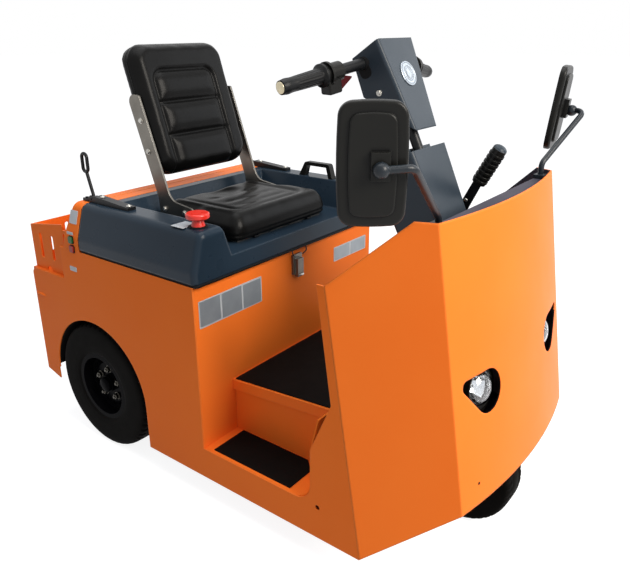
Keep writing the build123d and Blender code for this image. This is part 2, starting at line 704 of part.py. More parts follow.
# Hinges: straps on the hood and knuckle plates on the bulkhead
strap_half = 14
hinge_strap_top = hood_top_z + 20
hinge_leaf = 6
hinge_strap = xz_plate([(hinge_x + 9, hood_top_z + clearance), (hinge_x + 176, hood_top_z + clearance),
                        (hinge_x + 176, hinge_strap_top - 11), (hinge_x + 24, hinge_strap_top),
                        (hinge_x + 9, hood_top_z + hinge_leaf)], hinge_y - strap_half, hinge_y + strap_half)
knuckle_radius = 7
for y0, y1 in ((hinge_y - strap_half, hinge_y - 6), (hinge_y + 6, hinge_y + strap_half)):
    hinge_strap += rod(knuckle_radius, (hinge_x, y0, hinge_z), (hinge_x, y1, hinge_z))
    hinge_strap += box(hinge_x, hinge_x + 10, y0, y1, hood_top_z + 2, hood_top_z + hinge_leaf)
hinge_strap -= rod(3.3, (hinge_x, 0, hinge_z), (hinge_x, half_width, hinge_z))
save("hinge_straps", *both_sides(hinge_strap))
hinge_base = box(hinge_x - 32, hinge_x - 9, hinge_y - strap_half, hinge_y + strap_half,
                 hood_top_z + clearance, hood_top_z + 9)
hinge_base += box(hinge_x - 10, hinge_x, hinge_y - 5.5, hinge_y + 5.5, hood_top_z + 2,
                  hood_top_z + hinge_leaf)
hinge_base += rod(knuckle_radius, (hinge_x, hinge_y - 5.5, hinge_z), (hinge_x, hinge_y + 5.5, hinge_z))
hinge_base += rod(3, (hinge_x, hinge_y - strap_half, hinge_z), (hinge_x, hinge_y + strap_half, hinge_z))
save("hinge_bases", *both_sides(hinge_base))

# Seat: steel pan with two L straps, cushion and backrest
pan_z = shelf_z + clearance
strap_y = back_half_width + clearance
foot_x0 = cushion_rear_x - 32
foot_x1 = cushion_rear_x + 113
foot_top_z = shelf_z + 80
strap_lean = 19.5
strap_top_z = foot_top_z + 298
strap_back = (strap_top_z - foot_top_z) * tan(radians(strap_lean))
strap_run = strap_width / cos(radians(strap_lean))
strap_x0 = foot_x0 - 4
seat_strap = xz_plate([(foot_x0, pan_z), (foot_x1, pan_z), (foot_x1, foot_top_z - 12, 16),
                       (strap_x0 + strap_run, foot_top_z, 44),
                       (strap_x0 + strap_run - strap_back, strap_top_z, 8),
                       (strap_x0 - strap_back, strap_top_z, 22), (strap_x0, foot_top_z, 60)],
                      strap_y, strap_y + strap_thickness)
pan = box(cushion_rear_x + 10, cushion_front_x - 20, -strap_y - 2, strap_y + 2, pan_z, pan_z + pan_thickness)
for piece in both_sides(seat_strap):
    pan += piece
save("seat_frame", pan)
cushion_z = pan_z + pan_thickness + clearance
narrow_y = back_half_width - clearance
cushion_plan = [(cushion_rear_x, narrow_y, 30), (foot_x1 + 5, narrow_y),
                (foot_x1 + 45, cushion_half_width), (cushion_front_x, cushion_half_width, 36)]
cushion_plan += [(point[0], -point[1], *point[2:]) for point in reversed(cushion_plan)]
cushion = extrude(Pos(0, 0, cushion_z) * rounded_face(cushion_plan), cushion_thickness)
cushion = fillet(cushion.edges().group_by(Axis.Z)[-1], 22)
save("seat_cushion", cushion)
backrest = Box(back_thickness, 2 * back_half_width, back_height)
backrest = fillet(backrest.edges().filter_by(Axis.X), 48)
backrest = fillet(backrest.edges().group_by(Axis.X)[-1], 18)
save("seat_backrest", Pos(back_x, 0, back_z) * Rot(0, -back_tilt, 0) * backrest)

# Emergency stop on the right bolster and grab handle on the left one
stop_x = hood_front_x - 51
stop_y = -(half_width - 70)
fitting_z = hood_top_z + clearance
stop = Pos(stop_x, stop_y, fitting_z + 12) * Cone(19, 12, 24)
stop += Pos(stop_x, stop_y, fitting_z + 29) * fillet(Cylinder(31, 15).edges(), 5)
save("emergency_stop", stop)
handle_x0 = hood_front_x - 243
handle_x1 = hood_front_x - 103
handle_y = half_width - 88
handle_top_z = fitting_z + 48
handle_path = [(handle_x0, fitting_z), (handle_x0 + 26, handle_top_z, 12), (handle_x1 - 14, handle_top_z, 10),
               (handle_x1, fitting_z), (handle_x1 - 16, fitting_z), (handle_x1 - 26, handle_top_z - 12),
               (handle_x0 + 34, handle_top_z - 12), (handle_x0 + 24, fitting_z)]
save("grab_handle", xz_plate(handle_path, handle_y - 11, handle_y + 11))

# Draw latch on the box front wall
latch_y = 5
latch_x = box_front_x + clearance
latch = box(latch_x, latch_x + 8, latch_y - 20, latch_y + 20, box_top_z - 80, box_top_z - 18)
latch += box(latch_x + 7, latch_x + 20, latch_y - 13, latch_y + 13, box_top_z - 86, box_top_z - 30)
save("draw_latch", latch)

# Inching buttons on the right side of the bulkhead
button_x = bulkhead_front_x - 30
button_face = -half_width - 6
buttons = []
for z in (box_top_z + 33, box_top_z + 5):
    button = box(button_x - 9, button_x + 9, button_face, -half_width - clearance, z - 10, z + 10)
    buttons.append(fillet(button.edges().filter_by(Axis.Y), 4))
save("inching_buttons", *buttons)

# Mirrors on their stalks; each is turned to the driver by its own angle
mirror_reach = half_width + 106
mirror_width = 128
mirror_height = 225
mirror_depth = 26
glass_thickness = 4
stalk_x = wheelbase + 18
stalk_y = half_width - 124
stalk_z = dash_top_z + 5.3
ball_radius = 15
arm_radius = 7.5
stalk_bend = 20


def crowned(width, height, crown, radius):
    """A rectangle whose four sides bulge by crown, with rounded corners."""
    w, h = width / 2, height / 2
    corners = [(-w, -h), (w, -h), (w, h), (-w, h)]
    middles = [(0, -h - crown), (w + crown, 0), (0, h + crown), (-w - crown, 0)]
    arcs = [ThreePointArc(corners[i], middles[i], corners[(i + 1) % 4]) for i in range(4)]
    face = make_face(arcs)
    return fillet(face.vertices(), radius)


def mirror_slab(margin, x0, x1):
    """A slab of the mirror's outline, smaller by margin all round, from x0 to x1."""
    crown = 4
    face = crowned(mirror_width - 2 * (crown + margin), mirror_height - 2 * (crown + margin), crown,
                   28 - margin / 2)
    return extrude(Plane(origin=(x0, 0, 0), x_dir=(0, 1, 0), z_dir=(1, 0, 0)) * face, x1 - x0)


arms = []
housings = []
glasses = []
half_depth = mirror_depth / 2
for side_sign, turn, lean, x, z, knuckle_side, bend_step, stalk_rise in (
        (-1, 52.6, 0, wheelbase - 21, joint_z + 460, 13, (42, 40, 3), 12),
        (1, 9, 6.5, wheelbase - 5, joint_z + 475, 4, (36, -4, 2), 34)):
    body = mirror_slab(0, -half_depth, half_depth - 9)
    body = fillet(body.faces().sort_by(Axis.X)[-1].edges(), 7)
    panel = mirror_slab(20, half_depth - 10, half_depth - 3)
    body += fillet(panel.faces().sort_by(Axis.X)[-1].edges(), 4)
    body -= mirror_slab(6, -half_depth - 1, -half_depth + glass_thickness + clearance)
    body += box(half_depth - 4, half_depth + 9, knuckle_side - 17, knuckle_side + 17, -24, 26)
    glass = mirror_slab(6 + clearance, -half_depth, -half_depth + glass_thickness)
    facing = Rot(0, 0, side_sign * turn) * Rot(0, lean, 0)
    extent = (facing * body).bounding_box()
    reach = extent.max.Y if side_sign > 0 else -extent.min.Y
    place = Pos(x, side_sign * (mirror_reach - reach), z) * facing
    tip = (place * Pos(half_depth + 18, knuckle_side, -3)).position
    base = Vector(stalk_x, side_sign * stalk_y, stalk_z)
    bend = tip + Vector(*bend_step)
    path = FilletPolyline(base, base + Vector(0, 0, stalk_rise), bend, tip, radius=stalk_bend)
    arm = sweep(Plane(origin=base, z_dir=path % 0) * Circle(arm_radius), path)
    arm += box(base.X - 14, base.X + 14, base.Y - 14, base.Y + 14, stalk_z - 5, stalk_z + 5)
    arms.append(arm + Pos(*tip) * Sphere(ball_radius))
    housings.append(place * body - Pos(*tip) * Sphere(ball_radius + clearance))
    glasses.append(place * glass)
save("mirror_arms", *arms)
save("mirror_housings", *housings)
save("mirror_glasses", *glasses)

# Headlamps behind the openings in the apron: a bowl with a clear disc in its mouth
lens_radius = 44
bowl_wall = 5
bowl_depth = 56
bowls = []
lenses = []
for side_sign in (-1, 1):
    centre = (wheelbase + 96, side_sign * (opening_y - 3), opening_z - 3)
    facing = Plane(origin=centre, z_dir=(0.98, 0.12 * side_sign, 0.15))
    cone_depth = bowl_depth - 10
    bowl = facing * Pos(0, 0, -bowl_depth) * Cone(26, lens_radius + bowl_wall, cone_depth, align=on_base)
    bowl += facing * Pos(0, 0, -10) * Cylinder(lens_radius + bowl_wall, 12, align=on_base)
    bowl -= facing * Pos(0, 0, bowl_wall - bowl_depth) * Cone(22, lens_radius, cone_depth - bowl_wall,
                                                            align=on_base)
    bowl -= facing * Pos(0, 0, -10) * Cylinder(lens_radius + clearance, 20, align=on_base)
    bracket_z = opening_z + opening_radius + 17
    bracket = box(centre[0] - 24, centre[0] - 18, centre[1] - 12, centre[1] + 12, centre[2] + lens_radius - 4,
                  bracket_z)
    bracket += box(centre[0] - 24, centre[0] + 40, centre[1] - 12, centre[1] + 12, bracket_z - 6, bracket_z)
    bowls.append((bowl + bracket) & apron_space(inner_gap, deck_z, apron_top_z - 40))
    lenses.append(facing * Pos(0, 0, -8) * fillet(
        Cylinder(lens_radius, 7, align=on_base).edges().sort_by(Axis.Z)[-1], 4))
save("headlamps", *bowls)
save("headlamp_lenses", *lenses)

# Parking brake lever on the left of the column
lever_y = 110
lever_base = (wheelbase - 147, joint_z + 177)
lever_top = (wheelbase - 73, joint_z + 325)
pivot_z = lever_base[1] + 12
pivot_start_y = cover_half_at((pivot_z - joint_z) / cos(rake)) + 2
lever = xz_plate([(lever_base[0] - 16, lever_base[1]), (lever_base[0] + 14, lever_base[1]),
                  (lever_top[0] + 10, lever_top[1]), (lever_top[0] - 14, lever_top[1])],
                 lever_y - 4, lever_y + 4)
lever += rod(10, (lever_base[0], pivot_start_y, pivot_z), (lever_base[0], lever_y + 8, pivot_z))
save("parking_lever", lever)
grip_start = Vector(lever_top[0] - 4, lever_y, lever_top[1] - 8)
grip_end = Vector(wheelbase - 28, lever_y, joint_z + 406)
grip_line = grip_end - grip_start
knob = rod(18, grip_start, grip_end)
for ring in range(7):
    ring_start = grip_start + grip_line * (0.06 + ring * 0.125)
    knob += rod(20, ring_start, ring_start + grip_line.normalized() * 6)
save("parking_lever_grip", knob - lever)

# Tow coupling and its pin
jaw_half = 60
jaw_x0 = rear_x - coupling_reach
coupling = box(rear_x - 12, rear_x - clearance, -80, 80, coupling_z - 75, coupling_z + 75)
for z in (coupling_z - 40, coupling_z + 20):
    arm_plate = box(jaw_x0, rear_x - 10, -jaw_half, jaw_half, z, z + 20)
    rear_corners = arm_plate.edges().filter_by(Axis.Z).group_by(Axis.X)[0]
    coupling += fillet(rear_corners, 30)
pin_x = rear_x - 70
pin_radius = 12.5
coupling -= Pos(pin_x, 0, coupling_z) * Cylinder(pin_radius + clearance, 300)
save("tow_coupling", coupling)
pin_head_z = coupling_z + 40 + clearance
pin = rod(pin_radius, (pin_x, 0, coupling_z - 62), (pin_x, 0, pin_head_z + 4))
pin += rod(22, (pin_x, 0, pin_head_z), (pin_x, 0, pin_head_z + 9))
save("coupling_pin", pin)

# Release rod with its long eye, standing on the bulkhead
release_y = -(half_width - 92)
release_foot = (bulkhead_front_x - 26, release_y, hood_top_z + clearance)
eye_x = bulkhead_front_x - 52
eye_z = hood_top_z + 104
eye_half = 12
eye_reach = 15
release_radius = 5
eye_foot = (eye_x + 3, release_y, eye_z - eye_reach - eye_half)
release_rod = rod(release_radius, release_foot, eye_foot) - bulkhead
for x in (eye_x - eye_half, eye_x + eye_half):
    release_rod += rod(release_radius, (x, release_y, eye_z - eye_reach), (x, release_y, eye_z + eye_reach))
for middle, bow_z0 in ((eye_z + eye_reach, 0), (eye_z - eye_reach, -half_width)):
    bow = Torus(eye_half, release_radius).rotate(Axis.X, 90)
    bow = bow & box(-half_width, half_width, -half_width, half_width, bow_z0, bow_z0 + half_width)
    release_rod += Pos(eye_x, release_y, middle) * bow
save("release_rod", release_rod)

# Brake pedal: a raised plate on an arm, hinged on a foot in front of the floor mat
pedal_rear_x = wheelbase - 295
pedal_front_x = pedal_rear_x + 40
pedal_y0 = -150
pedal_y1 = -80
pedal_foot_x = mat_front_x + 11
pedal_foot_height = 14
pedal_rear_z = floor_z(pedal_rear_x) + 70
pedal_front_z = floor_z(pedal_front_x) + 112
pedal = xz_plate([(pedal_rear_x, pedal_rear_z), (pedal_front_x, pedal_front_z),
                  (pedal_front_x + 4, pedal_front_z - 4), (pedal_rear_x + 4, pedal_rear_z - 4)],
                 pedal_y0, pedal_y1)
pedal_mid_y = (pedal_y0 + pedal_y1) / 2
pedal_foot = xz_plate([(x, floor_z(x) + z) for x, z in
                       ((pedal_foot_x - 8, clearance), (pedal_foot_x + 8, clearance),
                        (pedal_foot_x + 8, pedal_foot_height), (pedal_foot_x - 8, pedal_foot_height))],
                      pedal_mid_y - 15, pedal_mid_y + 15)
pedal_arm = rod(7, (pedal_rear_x + 22, pedal_mid_y, pedal_front_z - 26),
                (pedal_foot_x, pedal_mid_y, floor_z(pedal_foot_x) + pedal_foot_height - 4))
save("brake_pedal", pedal + pedal_arm + pedal_foot)
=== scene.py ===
import math

import bmesh
import bpy
import numpy as np
from mathutils import Matrix, Vector


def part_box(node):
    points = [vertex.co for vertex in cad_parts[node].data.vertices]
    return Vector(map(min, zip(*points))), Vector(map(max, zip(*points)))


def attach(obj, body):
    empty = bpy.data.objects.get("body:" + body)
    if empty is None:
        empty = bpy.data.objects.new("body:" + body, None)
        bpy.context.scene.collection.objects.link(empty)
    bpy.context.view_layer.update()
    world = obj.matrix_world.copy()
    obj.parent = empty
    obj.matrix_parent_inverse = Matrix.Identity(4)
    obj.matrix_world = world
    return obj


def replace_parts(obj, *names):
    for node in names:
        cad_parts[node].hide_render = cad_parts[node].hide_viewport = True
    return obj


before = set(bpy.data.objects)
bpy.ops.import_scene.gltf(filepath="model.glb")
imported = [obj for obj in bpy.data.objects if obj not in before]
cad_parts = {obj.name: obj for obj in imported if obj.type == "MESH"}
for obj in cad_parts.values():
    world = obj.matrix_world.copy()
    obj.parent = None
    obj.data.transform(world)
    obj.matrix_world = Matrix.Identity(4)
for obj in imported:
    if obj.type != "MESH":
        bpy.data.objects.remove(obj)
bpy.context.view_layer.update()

# The studio: a wide pale floor, a white surround and soft lamps, with the camera where the
# photographer stood, to the right of the front corner and above it.
PICTURE_WIDTH = 630
PICTURE_HEIGHT = 568
FOCAL_PIXELS = 666.45
CENTRE_PIXEL_X = 317.74
CENTRE_PIXEL_Y = 277.05
LOOK_HEADING = 127.37
LOOK_DOWN = 20.66
LOOK_ROLL = -0.21
CAMERA_AHEAD_OF_AXLE = 1.66319
CAMERA_SIDE = -1.45961
CAMERA_HEIGHT = 1.26970
SENSOR_WIDTH = 36.0
NEAR_CLIP = 0.02

tyre_low, tyre_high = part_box("rear_tyre_right")
axle_x = (tyre_low.x + tyre_high.x) / 2

camera_data = bpy.data.cameras.new("photo_camera")
camera = bpy.data.objects.new("photo_camera", camera_data)
bpy.context.scene.collection.objects.link(camera)
heading = math.radians(LOOK_HEADING)
down = math.radians(LOOK_DOWN)
look = Vector((math.cos(heading) * math.cos(down), math.sin(heading) * math.cos(down), -math.sin(down)))
place = Matrix.Translation((axle_x + CAMERA_AHEAD_OF_AXLE, CAMERA_SIDE, CAMERA_HEIGHT))
aim = look.to_track_quat("-Z", "Y").to_matrix().to_4x4()
camera.matrix_world = place @ aim @ Matrix.Rotation(math.radians(LOOK_ROLL), 4, "Z")
camera_data.sensor_width = SENSOR_WIDTH
camera_data.lens = FOCAL_PIXELS * SENSOR_WIDTH / PICTURE_WIDTH
camera_data.shift_x = (PICTURE_WIDTH / 2 - CENTRE_PIXEL_X) / PICTURE_WIDTH
camera_data.shift_y = (CENTRE_PIXEL_Y - PICTURE_HEIGHT / 2) / PICTURE_WIDTH
camera_data.clip_start = NEAR_CLIP
bpy.context.scene.camera = camera
bpy.context.scene.view_settings.view_transform = "Standard"


def linear(hex_colour):
    """Linear red, green, blue and alpha of an sRGB hex colour such as 'F0802A'."""
    parts = [int(hex_colour[i:i + 2], 16) / 255 for i in (0, 2, 4)]
    return [c / 12.92 if c <= 0.04045 else ((c + 0.055) / 1.055) ** 2.4 for c in parts] + [1.0]


def add(tree, kind, sockets=None, links=None, **settings):
    """Add a shader node: settings are its own, sockets are values and links are outputs wired in."""
    made = tree.nodes.new("ShaderNode" + kind)
    for name, value in settings.items():
        setattr(made, name, value)
    for name, value in (sockets or {}).items():
        made.inputs[name].default_value = value
    for name, output in (links or {}).items():
        tree.links.new(output, made.inputs[name])
    return made


def empty_material(name):
    """A material with an empty node tree."""
    material = bpy.data.materials.new(name)
    material.use_nodes = True
    material.node_tree.nodes.clear()
    return material


def piece(name, points, faces, material, body=None, smooth=True):
    """A mesh object in metres at the origin, with one material, that rides on a body."""
    mesh = bpy.data.meshes.new(name)
    mesh.from_pydata(np.asarray(points, float).reshape(-1, 3).tolist(), [], [list(f) for f in faces])
    mesh.polygons.foreach_set("use_smooth", [smooth] * len(mesh.polygons))
    mesh.materials.append(material)
    mesh.update()
    made = bpy.data.objects.new(name, mesh)
    bpy.context.scene.collection.objects.link(made)
    if body:
        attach(made, body)
    return made


FLOOR_REACH = 30.0
FLOOR_DROP = 0.0005
FLOOR_GREY = "A6A6A8"
FLOOR_GLOW = 0.88


def seen_directly(tree):
    """1 for rays from the eye, from a mirror-like surface or through glass, which see the plain
    white of the surround; 0 for the rays that light the object."""
    rays = add(tree, "LightPath")
    eye = add(tree, "Math", links={0: rays.outputs["Is Camera Ray"], 1: rays.outputs["Is Glossy Ray"]},
              operation="MAXIMUM")
    glass = add(tree, "Math", links={0: eye.outputs[0], 1: rays.outputs["Is Transmission Ray"]},
                operation="MAXIMUM")
    return glass.outputs[0]


studio_floor = empty_material("matt_white_floor")
tree = studio_floor.node_tree
matt = add(tree, "BsdfDiffuse", {"Color": linear(FLOOR_GREY)})
glow = add(tree, "Emission", {"Color": linear("FFFFFF"), "Strength": FLOOR_GLOW})
lit = add(tree, "AddShader", links={0: matt.outputs[0], 1: glow.outputs[0]})
both = add(tree, "MixShader",
           links={0: seen_directly(tree), 1: matt.outputs[0], 2: lit.outputs[0]})
add(tree, "OutputMaterial", links={"Surface": both.outputs[0]})
corners = [(-FLOOR_REACH, -FLOOR_REACH, -FLOOR_DROP), (FLOOR_REACH, -FLOOR_REACH, -FLOOR_DROP),
           (FLOOR_REACH, FLOOR_REACH, -FLOOR_DROP), (-FLOOR_REACH, FLOOR_REACH, -FLOOR_DROP)]
floor = piece("studio_floor", corners, [(0, 1, 2, 3)], studio_floor)

WORLD_LIGHT = 0.40
world = bpy.data.worlds.new("white_surround")
world.use_nodes = True
tree = world.node_tree
tree.nodes.clear()
room_light = add(tree, "Background", {"Color": linear("F4F7FF"), "Strength": WORLD_LIGHT})
room_white = add(tree, "Background", {"Color": linear("FFFFFF"), "Strength": 1.0})
room = add(tree, "MixShader",
           links={0: seen_directly(tree), 1: room_light.outputs[0], 2: room_white.outputs[0]})
add(tree, "OutputWorld", links={"Surface": room.outputs[0]})
bpy.context.scene.world = world

# Each lamp: name, place, aim, width, height, watts, colour.
LAMPS = (
    ("front_softbox", (3.9, -0.2, 3.1), (0.4, 0.0, 0.5), 2.2, 2.2, 238.0, "FFF8EE"),
    ("top_softbox", (0.0, 0.2, 4.2), (0.0, 0.0, 0.4), 3.0, 3.0, 70.0, "FFFFFF"),
    ("left_softbox", (1.9, 2.8, 2.3), (0.6, 0.0, 0.8), 1.8, 1.8, 20.0, "F6FAFF"),
)
for name, where, target, width, height, watts, tint in LAMPS:
    lamp_data = bpy.data.lights.new(name, "AREA")
    lamp_data.shape = "RECTANGLE"
    lamp_data.size = width
    lamp_data.size_y = height
    lamp_data.energy = watts
    lamp_data.color = linear(tint)[:3]
    lamp = bpy.data.objects.new(name, lamp_data)
    lamp.location = where
    lamp.rotation_mode = "QUATERNION"
    lamp.rotation_quaternion = (Vector(target) - Vector(where)).to_track_quat("-Z", "Y")
    bpy.context.scene.collection.objects.link(lamp)


# The body: folded steel sheet, welded and powder coated in one orange. Powder coat is smooth and
# half glossy, with a fine orange peel, and its folded edges carry a painted highlight. The steps
# have a matt coat.
MM = 0.001


def spot(x, y, z):
    """Place in metres of a point given in mm ahead of the rear axle, to the left and above ground."""
    return np.array([axle_x + x * MM, y * MM, z * MM])


def finish(material, *names):
    """Give CAD nodes one material."""
    for name in names:
        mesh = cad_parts[name].data
        mesh.materials.clear()
        mesh.materials.append(material)


EDGE_SAMPLES = 6
FLAT_COSINE = 0.995
EDGE_COSINE = 0.80


def soft_edges(tree, radius_mm):
    """Shading that rounds sharp edges: the bevelled normal, and how far it leaves the flat one."""
    bevel = add(tree, "Bevel", {"Radius": radius_mm * MM}, samples=EDGE_SAMPLES)
    flat = add(tree, "NewGeometry")
    turned_by = add(tree, "VectorMath", links={0: bevel.outputs[0], 1: flat.outputs["Normal"]},
                    operation="DOT_PRODUCT")
    mask = add(tree, "MapRange", {"From Min": FLAT_COSINE, "From Max": EDGE_COSINE},
               {"Value": turned_by.outputs["Value"]})
    return bevel.outputs[0], mask.outputs[0]


def mottle(tree, size_mm, detail=2.0):
    """Noise from 0 to 1 whose patches are about size_mm across, on the piece's own coordinates."""
    here = add(tree, "TexCoord")
    cloud = add(tree, "TexNoise", {"Scale": 1 / (size_mm * MM), "Detail": detail},
                {"Vector": here.outputs["Object"]})
    return cloud.outputs["Fac"]


def dented(tree, height, depth_mm, normal=None):
    """Bump from a height of 0 to 1 that stands depth_mm tall."""
    links = {"Height": height}
    if normal is not None:
        links["Normal"] = normal
    return add(tree, "Bump", {"Strength": 1.0, "Distance": depth_mm * MM}, links).outputs[0]


def tint_by(tree, factor, low, high, low_at, high_at):
    """Colour that runs from hex low to hex high as the factor goes from low_at to high_at."""
    reach = add(tree, "MapRange", {"From Min": low_at, "From Max": high_at}, {"Value": factor})
    mix = add(tree, "Mix", links={"Factor": reach.outputs[0]}, data_type="RGBA")
    mix.inputs["A"].default_value = linear(low)
    mix.inputs["B"].default_value = linear(high)
    return mix.outputs["Result"]


def colour_over(tree, factor, under, over):
    """Colour output under, covered by hex colour over where the factor is 1."""
    mix = add(tree, "Mix", data_type="RGBA")
    tree.links.new(factor, mix.inputs["Factor"])
    tree.links.new(under, mix.inputs["A"])
    mix.inputs["B"].default_value = linear(over)
    return mix.outputs["Result"]


PATCH_EDGES = (0.3, 0.7)
GLOSS_SPREAD = (-0.05, 0.06)
# Painted shade in inner corners, from ambient occlusion: none above the first value, full below the
# second, in this dark tint.
SHADE_FREE_OCCLUSION = 0.92
FULL_SHADE_OCCLUSION = 0.62
PAINTED_SHADE_TINT = "040404"


def coated(name, low, high, patch, roughness, peel, edge, edge_highlight=None, edge_highlight_share=0.5, shine=0.5,
           ior=1.5, metallic=0.0, relief=None, groove=0.0):
    """A painted, moulded or plated surface, with its sizes in mm. The colour runs between two close
    tones in patches and the gloss varies with them. peel is the spacing and depth of the fine
    relief. Edges are rounded within edge, and a painted highlight lightens them towards the given
    edge colour by the given share. Painted shade darkens inner corners within groove. relief adds a
    coarser bump, and shine is the shader's specular level."""
    material = empty_material(name)
    tree = material.node_tree
    normal, at_edge = soft_edges(tree, edge)
    tone = tint_by(tree, mottle(tree, patch, 4.0), low, high, *PATCH_EDGES)
    # Painted highlight: a lighter tone along the rounded edges.
    if edge_highlight:
        share = add(tree, "Math", {1: edge_highlight_share}, {0: at_edge}, operation="MULTIPLY")
        tone = colour_over(tree, share.outputs[0], tone, edge_highlight)
    # Painted shade: the occlusion darkens the inner corners.
    if groove:
        shade = add(tree, "AmbientOcclusion", {"Distance": groove * MM}, samples=EDGE_SAMPLES,
                    only_local=True)
        deep = add(tree, "MapRange", {"From Min": SHADE_FREE_OCCLUSION, "From Max": FULL_SHADE_OCCLUSION},
                   {"Value": shade.outputs["AO"]})
        tone = colour_over(tree, deep.outputs[0], tone, PAINTED_SHADE_TINT)
    if relief:
        normal = relief(tree, normal)
    spacing, depth = peel
    normal = dented(tree, mottle(tree, spacing, 1.0), depth, normal)
    least, most = GLOSS_SPREAD
    gloss = add(tree, "MapRange", {"To Min": roughness + least, "To Max": roughness + most},
                {"Value": mottle(tree, patch * 0.4, 3.0)})
    shader = add(tree, "BsdfPrincipled", {"Specular IOR Level": shine, "IOR": ior, "Metallic": metallic},
                 {"Base Color": tone, "Roughness": gloss.outputs[0], "Normal": normal})
    add(tree, "OutputMaterial", links={"Surface": shader.outputs[0]})
    return material


ORANGE = {"low": "FA792A", "high": "FC7E2E", "patch": 260.0, "peel": (3.0, 0.012)}
# The edge colour here is a painted highlight on the folds.
HALF_GLOSS_AND_EDGE_HIGHLIGHT = {"roughness": 0.36, "edge_highlight": "FFA45C", "shine": 0.045}
powder_coat = coated("orange_powder_coat", edge=2.2, edge_highlight_share=0.4, **ORANGE, **HALF_GLOSS_AND_EDGE_HIGHLIGHT)
folded_coat = coated("orange_powder_coat_on_wide_bends", edge=7.0, edge_highlight_share=0.3, **ORANGE, **HALF_GLOSS_AND_EDGE_HIGHLIGHT)
matt_coat = coated("orange_primer_coat", roughness=0.55, edge=2.2, shine=0.0, **ORANGE)
finish(powder_coat, "side_panel_left", "side_panel_right", "box_front_wall", "floor_pan", "rear_panel",
       "rear_bulkhead", "rear_guard")
finish(folded_coat, "apron")
finish(matt_coat, "steps")

# Wheel houses and inner panels: underseal is sprayed on thick and dries rough and black, and in the
# wheel houses its black also stands as painted shade for the deep arches. The liner paint on what
# faces the driver is a matt grey that hides scuffs, with a painted highlight on its edges.
shade_black_underseal = coated("sprayed_underseal_as_painted_shade", "0B0B0B", "111111", patch=60.0, roughness=0.8, peel=(5.0, 0.4),
                   edge=2.0, shine=0.08)
finish(shade_black_underseal, "wheel_houses")
liner_coat = coated("matt_liner_paint", "3C3A44", "45424D", patch=180.0, roughness=0.6, peel=(2.0, 0.02),
                    edge=2.0, edge_highlight="605C68", edge_highlight_share=0.4, shine=0.15)
finish(liner_coat, "dash_panel", "front_deck")


def of_faces(mesh, what):
    """One vector for each face of a mesh: its normal or its center."""
    flat = np.empty(len(mesh.polygons) * 3)
    mesh.polygons.foreach_get(what, flat)
    return flat.reshape(-1, 3)


# Apron: one folded sheet in three coats. It is orange outside, liner on what faces the driver, and
# black underseal, a painted shade, on the cut edges of the lamp openings: the faces that look at a
# lamp's middle.
LAMP_Y = 188.0
LAMP_Z = 502.0
LAMP_HOLE_REACH = 95.0
ORANGE_SLOT, LAMP_HOLE_SHADE_SLOT, LINER_SLOT = 0, 1, 2
FACES_DRIVER = -0.3
FACES_LAMP = 0.4
apron_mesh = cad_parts["apron"].data
apron_mesh.materials.append(shade_black_underseal)
apron_mesh.materials.append(liner_coat)
normals = of_faces(apron_mesh, "normal")
middles = of_faces(apron_mesh, "center")
slots = np.where(normals[:, 0] < FACES_DRIVER, LINER_SLOT, ORANGE_SLOT).astype(np.int32)
for side in (-1, 1):
    to_lamp = np.array([side * LAMP_Y, LAMP_Z]) * MM - middles[:, 1:]
    away = np.linalg.norm(to_lamp, axis=1)
    looks = (normals[:, 1:] * to_lamp).sum(1) > FACES_LAMP * away
    # Painted shade: these cut edges are black to stand for the shade inside the openings.
    slots[looks & (away < LAMP_HOLE_REACH * MM)] = LAMP_HOLE_SHADE_SLOT
apron_mesh.polygons.foreach_set("material_index", slots)


# Plates on the body: thin anodised aluminium, pressed flat, with a paler border and bare fields,
# held by small dome rivets. Anodising dulls the metal to an even grey. The beads on the tail are
# pressed into the sheet.
def rounded_outline(width, height, corner, count=40):
    """Points round a rectangle with rounded corners: corner centres plus a circle's sine and cosine."""
    turn = (np.arange(count) + 0.5) * 2 * math.pi / count
    across = np.sign(np.cos(turn)) * (width / 2 - corner) + corner * np.cos(turn)
    along = np.sign(np.sin(turn)) * (height / 2 - corner) + corner * np.sin(turn)
    return np.stack([across, along], -1)


def skin(name, shells, material, body="chassis", smooth=True, ring=False):
    """Closed mesh from shells of (rows, columns, 3) points, on the chassis unless another body is
    named: each point joins its neighbours, the columns close round, and the rows either close too
    or end in a flat cap."""
    points = []
    faces = []
    for rows in shells:
        rows = np.asarray(rows, float)
        count, width = rows.shape[:2]
        index = np.arange(count * width).reshape(count, width) + sum(len(p) for p in points)
        here = index if ring else index[:-1]
        after = np.roll(index, -1, 0) if ring else index[1:]
        quads = np.stack([here, np.roll(here, -1, 1), np.roll(after, -1, 1), after], -1)
        faces += quads.reshape(-1, 4).tolist()
        if not ring:
            faces += [index[0][::-1].tolist(), index[-1].tolist()]
        points.append(rows.reshape(-1, 3))
    made = piece(name, np.concatenate(points), faces, material, body, smooth)
    work = bmesh.new()
    work.from_mesh(made.data)
    bmesh.ops.recalc_face_normals(work, faces=work.faces)
    work.to_mesh(made.data)
    work.free()
    return made


FORWARD = (1.0, 0.0, 0.0)
RIGHT = (0.0, -1.0, 0.0)
UP = (0.0, 0.0, 1.0)


def frame_of(axis, towards=UP):
    """Two unit directions square to an axis; the second leans towards the given direction."""
    axis = np.asarray(axis, float) / np.linalg.norm(axis)
    towards = np.asarray(towards, float)
    if abs(axis @ towards) > 0.99 * np.linalg.norm(towards):
        towards = np.array(FORWARD)
    side = np.cross(towards, axis)
    side /= np.linalg.norm(side)
    return side, np.cross(axis, side), axis


